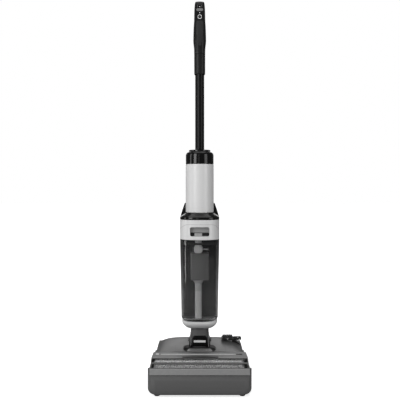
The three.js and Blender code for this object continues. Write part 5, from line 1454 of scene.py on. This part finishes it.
def clean_tank():
    _, _, y0, _, z0, z1 = span("clean_tank")
    cap_y0, cap_y1, cap_z0, cap_z1 = span("fill_cap")[2:]
    fill_z = cap_z1 - 15
    face = y0 + 38
    shell = prism(clean_outline(0), "Z", z0, z1)
    soften(shell, 2.4, 5, 60)
    filler = rod("Y", 0, fill_z, 15, face - 8, face, 56)
    weld(shell, filler)
    inside = prism(clean_outline(2.5), "Z", z0 + 2.5, z1 - 2.5)
    cut(shell, inside, rod("Y", 0, fill_z, 11, face - 12, face + 1, 48))
    soften(shell, 0.5, 2, 60)
    fitted(shell, "clean_tank_shell", "clean smoke", "clean_tank", angle=40)
    tube = hoop([(2.0, z0 + 6), (3.0, z0 + 6), (3.0, z1 - 30), (2.0, z1 - 30)], "Z", -30, y0 + 12, 24)
    weight = turned([(4, z0 + 3), (5, z0 + 4), (5, z0 + 9), (3.4, z0 + 11)], "Z", -30, y0 + 12, 24)
    fitted(join(tube, weight), "clean_intake", "inner grey", rides="clean_tank")
    ticks = repeated(block(33, 40, y0 + 26.5, y0 + 27.4, z0 + 40, z0 + 41), 5, z=34)
    fitted(soften(ticks, 0.2, 2), "clean_level_ticks", "grey", rides="clean_tank")

    lens = cap_y1 - 3.2
    plug = turned(
        [
            (7, cap_y0), (8, cap_y0 + 0.6), (8, lens - 0.2), (14.6, lens), (15, lens + 0.5), (15, cap_y1 - 1),
            (14.2, cap_y1 - 0.2), (12, cap_y1), (11.4, cap_y1 - 0.5), (2, cap_y1 - 0.5),
        ],
        "Y", 0, fill_z, 64,
    )
    strap = soften(block(-6, 6, lens, cap_y1 - 0.4, cap_z0, fill_z - 8), 0.7, 3)
    fitted(join(plug, strap), "filler_cap", "rubber", "fill_cap")


tank_shell()
tank_inside()
lid()
clean_tank()

# ------------------------------------------------------------------ pole and handle

GRIP = [  # height above the grip's foot, width, depth, how far back it leans
    (0, 33, 34, 0), (18, 34, 37, -1), (36, 38, 42, -1.5), (56, 37.5, 41, 0), (80, 36, 37, 3), (102, 33.5, 33, 6.5),
    (120, 33, 31, 9.5), (142, 31.5, 28, 13), (156, 28.5, 23, 15), (160, 26, 18, 16),
]
GRIP_TOP = 160.0
PANEL_Z0, PANEL_Z1 = GRIP_Z0 + 101, GRIP_Z0 + 146
INSERT_Z0, INSERT_Z1 = GRIP_Z0 + 22, GRIP_Z0 + 97


def grip_lean(z):
    return eased(GRIP, min(max(z - GRIP_Z0, 0), GRIP_TOP))[2]


def grip_solid(inset=0.0, steps=46):
    levels = []
    for step in range(steps + 1):
        rise = GRIP_TOP * step / steps
        width, depth, lean = eased(GRIP, rise)
        levels.append((GRIP_Z0 + rise, width - 2 * inset, depth - 2 * inset, 0, POLE_Y + lean))
        if step == steps:
            levels[-1] = (GRIP_Z0 + rise - 0.4 - inset, width - 2 * inset, depth - 2 * inset, 0, POLE_Y + lean)
            if not inset:
                levels.append((GRIP_Z0 + rise, width - 2.4, depth - 2.4, 0, POLE_Y + lean))
    if inset:
        levels[0] = (GRIP_Z0 + inset, *levels[0][1:])
    return loft(rounded(0, 0, 33, 34, 14, 9), "Z", levels)


def grip_zone(width, z0, z1, radius, slack=0.0):
    outline = rounded(0, (z0 + z1) / 2, width + 2 * slack, z1 - z0 + 2 * slack, radius, 8)
    return prism(outline, "Y", POLE_Y - 42, POLE_Y + 6)


def shield(slack=0.0):
    """The grip insert's outline: wide at its top and drawn in to a soft point below."""
    low, high = INSERT_Z0 - slack, INSERT_Z1 + slack
    wide = 10.6 + slack
    points = [
        (-wide, high - 8), (-wide + 1.6, high), (wide - 1.6, high), (wide, high - 8), (wide - 0.4, low + 34),
        (wide - 3.4, low + 12), (3.0, low), (-3.0, low), (-wide + 3.4, low + 12), (-wide + 0.4, low + 34),
    ]
    return prism(filleted(points, 4, 5), "Y", POLE_Y - 42, POLE_Y + 6)


def beyond_parting(direction):
    line = [(POLE_Y + grip_lean(GRIP_Z0 + rise) - direction * 0.15, GRIP_Z0 + rise) for rise in range(-4, 170, 6)]
    far = POLE_Y + direction * 60
    return prism([*line, (far, GRIP_Z0 + 170), (far, GRIP_Z0 - 4)], "X", -40, 40)


def handle():
    tube = hoop(
        [(11.9, POLE_Z0), (13.1, POLE_Z0), (13.5, POLE_Z0 + 0.5), (13.5, POLE_Z1 - 0.4), (11.9, POLE_Z1)],
        "Z", 0, POLE_Y, 96,
    )
    fitted(tube, "pole_tube", "pole", "handle_pole")
    z0, z1 = SLEEVE_Z0, SLEEVE_Z1
    levels = [
        (z0, 30.4, 31.4, 0, POLE_Y), (z0 + 0.8, 31.8, 33.0, 0, POLE_Y),
        (z0 + 3, 32.6, 34.0, 0, POLE_Y), (z0 + 22, 32.8, 34.4, 0, POLE_Y),
        (z0 + 44, 33, 34.6, 0, POLE_Y), (z1 - 3, 32.8, 34.4, 0, POLE_Y),
        (z1 - 0.6, 32.4, 34, 0, POLE_Y), (z1, 31.6, 33.2, 0, POLE_Y),
    ]
    sleeve = loft(rounded(0, 0, 33, 35, 15, 12), "Z", levels)
    cut(sleeve, rod("Z", 0, POLE_Y, 13.8, z0 - 1, z1 - 7, 64))
    fitted(soften(sleeve, 0.5, 3, 50), "sleeve_shell", "black satin", "handle_sleeve")

    core = grip_solid(2.2, 24)
    front = cut(grip_solid(), beyond_parting(1))
    panel_room = grip_zone(26, PANEL_Z0, PANEL_Z1, 4, 0.3)
    insert_room = shield(0.3)
    cut(panel_room, copy_of(core))
    cut(insert_room, copy_of(core))
    holes = []
    for node in ("power_button", "mode_button"):
        x0, x1, y0, y1, z0, z1 = span(node)
        radius = min(x1 - x0, z1 - z0) / 2 - 0.1 + 0.5
        outline = rounded(0, (z0 + z1) / 2, x1 - x0 + 1, z1 - z0 + 1, radius, 8)
        holes.append(prism(outline, "Y", POLE_Y - 42, y1 + 2.6))
    cut(front, panel_room, insert_room, *[copy_of(hole) for hole in holes])
    fitted(soften(front, 0.35, 2, 50), "grip_front", "black satin", "handle_front", angle=40)
    rear = cut(grip_solid(), beyond_parting(-1))
    fitted(soften(rear, 0.35, 2, 50), "grip_rear", "black", "handle_rear", angle=40)

    skin = cut(grip_solid(), core)
    panel = kept_inside(copy_of(skin), grip_zone(26, PANEL_Z0, PANEL_Z1, 4))
    cut(panel, *holes)
    fitted(soften(panel, 0.3, 2, 50), "panel_glass", "panel", "control_panel", angle=40)
    insert = kept_inside(skin, shield())
    fitted(soften(insert, 0.3, 2, 50), "grip_pad", "grip pad", "grip_insert", angle=40)

    for node, name, finish in (("power_button", "power_key_cap", "key"), ("mode_button", "mode_key_cap", "key dark")):
        x0, x1, y0, y1, z0, z1 = span(node)
        radius = min(x1 - x0, z1 - z0) / 2 - 0.1
        key = prism(rounded(0, (z0 + z1) / 2, x1 - x0, z1 - z0, radius, 10), "Y", y0 + 0.1, y1)
        turned_by(key, -5, "X", (0, (y0 + y1) / 2, (z0 + z1) / 2))
        fitted(soften(key, 0.5, 3, 50), name, finish, node)

    # lit marks on the panel, and a ring round the lower key
    x0, x1, y0, y1, z0, z1 = span("mode_button")
    face = y0 - 0.1
    ring_profile = [(5.2, face - 0.25), (5.8, face - 0.25), (5.8, face + 0.3), (5.2, face + 0.3)]
    ring = hoop(ring_profile, "Y", 0, (z0 + z1) / 2, 48)
    turned_by(ring, -5, "X", (0, face, (z0 + z1) / 2))
    fitted(ring, "mode_key_ring", "lit white", rides="mode_key")
    x0, x1, y0, y1, z0, z1 = span("control_panel")

    def on_panel(z):
        _, depth, lean = eased(GRIP, z - GRIP_Z0)
        return POLE_Y + lean - depth / 2

    dot_z = z1 - 4.5
    dot = turned([(1.1, on_panel(dot_z) - 0.15), (1.1, on_panel(dot_z) + 1)], "Y", 0, dot_z, 20)
    bar_z = (span("power_button")[4] + span("mode_button")[5]) / 2 - 1
    bar = block(-0.6, 0.6, on_panel(bar_z) - 0.1, on_panel(bar_z) + 1, bar_z - 2.2, bar_z + 2.2)
    fitted(join(dot, bar), "panel_marks", "lit white", rides="handle")


handle()

# ------------------------------------------------------------------ floor, light and camera


FLOOR_BOUNCE = 0.4
WORLD_LIGHT = 0.13


def studio():
    clear_selection()
    ops.mesh.primitive_plane_add(size=30, location=(0, 0, 0))
    floor = bpy.context.object
    floor.name = "studio_floor"
    material, board, surface = blank("Pale floor")
    # seen straight on the floor is bright out to its far edge; to the object it is only a pale matt floor
    board.feed(surface.inputs["Base Color"], board.use(MOULD_TINT, Color=0.85, Spread=0.01))
    board.feed(surface.inputs["Roughness"], board.use(MARKS, Roughness=0.9, Spread=0.05))
    surface.inputs["Specular IOR Level"].default_value = 0.0
    board.feed(surface.inputs["Emission Color"], board.use(MOULD_TINT, Color=1.0, Spread=0.01))
    reach = board.node("VectorMath", {"operation": "LENGTH"}, Vector=board.here()).outputs["Value"]
    seen_direct = board.node("LightPath").outputs["Is Camera Ray"]
    glow = board.math("MULTIPLY", board.between(reach, 0.3, 2.5, 0.72, 1.1), seen_direct)
    board.feed(surface.inputs["Emission Strength"], glow)
    dull = board.node("BsdfDiffuse", Color=FLOOR_BOUNCE)
    switch = board.node("MixShader", Fac=seen_direct)
    board.feed(switch.inputs[1], dull.outputs[0])
    board.feed(switch.inputs[2], surface.outputs[0])
    board.feed(material.node_tree.nodes["Material Output"].inputs["Surface"], switch.outputs[0])
    floor.data.materials.append(material)

    world = bpy.data.worlds.new("Studio")
    bpy.context.scene.world = world
    world.use_nodes = True
    board = Board(world.node_tree)
    seen = board.node("Background", Color=(1.0, 1.0, 1.0, 1.0), Strength=1.0)
    lighting = board.node("Background", Color=(1.0, 1.0, 1.0, 1.0), Strength=WORLD_LIGHT)
    switch = board.node("MixShader", Fac=board.node("LightPath").outputs["Is Camera Ray"])
    board.feed(switch.inputs[1], lighting.outputs[0])
    board.feed(switch.inputs[2], seen.outputs[0])
    board.feed(world.node_tree.nodes["World Output"].inputs["Surface"], switch.outputs[0])

    softboxes = [
        # name, place, aimed at, width, height, power
        ("key", (-1.5, -1.9, 1.25), (0.0, 0.0, 0.55), 0.9, 1.7, 32.0),
        ("fill", (1.7, -1.3, 0.9), (0.0, 0.0, 0.45), 0.9, 1.5, 13.0),
        ("above", (0.0, -0.1, 2.4), (0.0, 0.0, 0.2), 1.8, 1.8, 16.0),
        ("left strip", (-1.35, -0.25, 0.6), (0.0, 0.04, 0.45), 0.22, 1.5, 4.0),
        ("front strip", (-0.28, -2.3, 0.9), (0.0, 0.0, 0.55), 0.12, 1.6, 1.4),
        ("behind", (0.0, 1.8, 1.3), (0.0, 0.0, 0.5), 1.4, 1.4, 10.0),
    ]
    for name, spot, aim, width, height, power in softboxes:
        light = bpy.data.lights.new(name, "AREA")
        light.shape = "RECTANGLE"
        light.size, light.size_y, light.energy = width, height, power
        box = bpy.data.objects.new("softbox_" + name.replace(" ", "_"), light)
        box.location = spot
        box.rotation_euler = (Vector(aim) - Vector(spot)).to_track_quat("-Z", "Y").to_euler()
        box.visible_camera = False
        bpy.context.scene.collection.objects.link(box)
    bpy.context.scene.view_settings.view_transform = "Standard"


def camera():
    view = bpy.data.cameras.new("view")
    view.lens, view.sensor_width = 49.59, 36.0
    holder = bpy.data.objects.new("view", view)
    holder.location = (0.0009, -1.6, 0.5665)
    holder.rotation_euler = (math.radians(90 - 1.495), 0, 0)
    bpy.context.scene.collection.objects.link(holder)
    bpy.context.scene.camera = holder


studio()
camera()
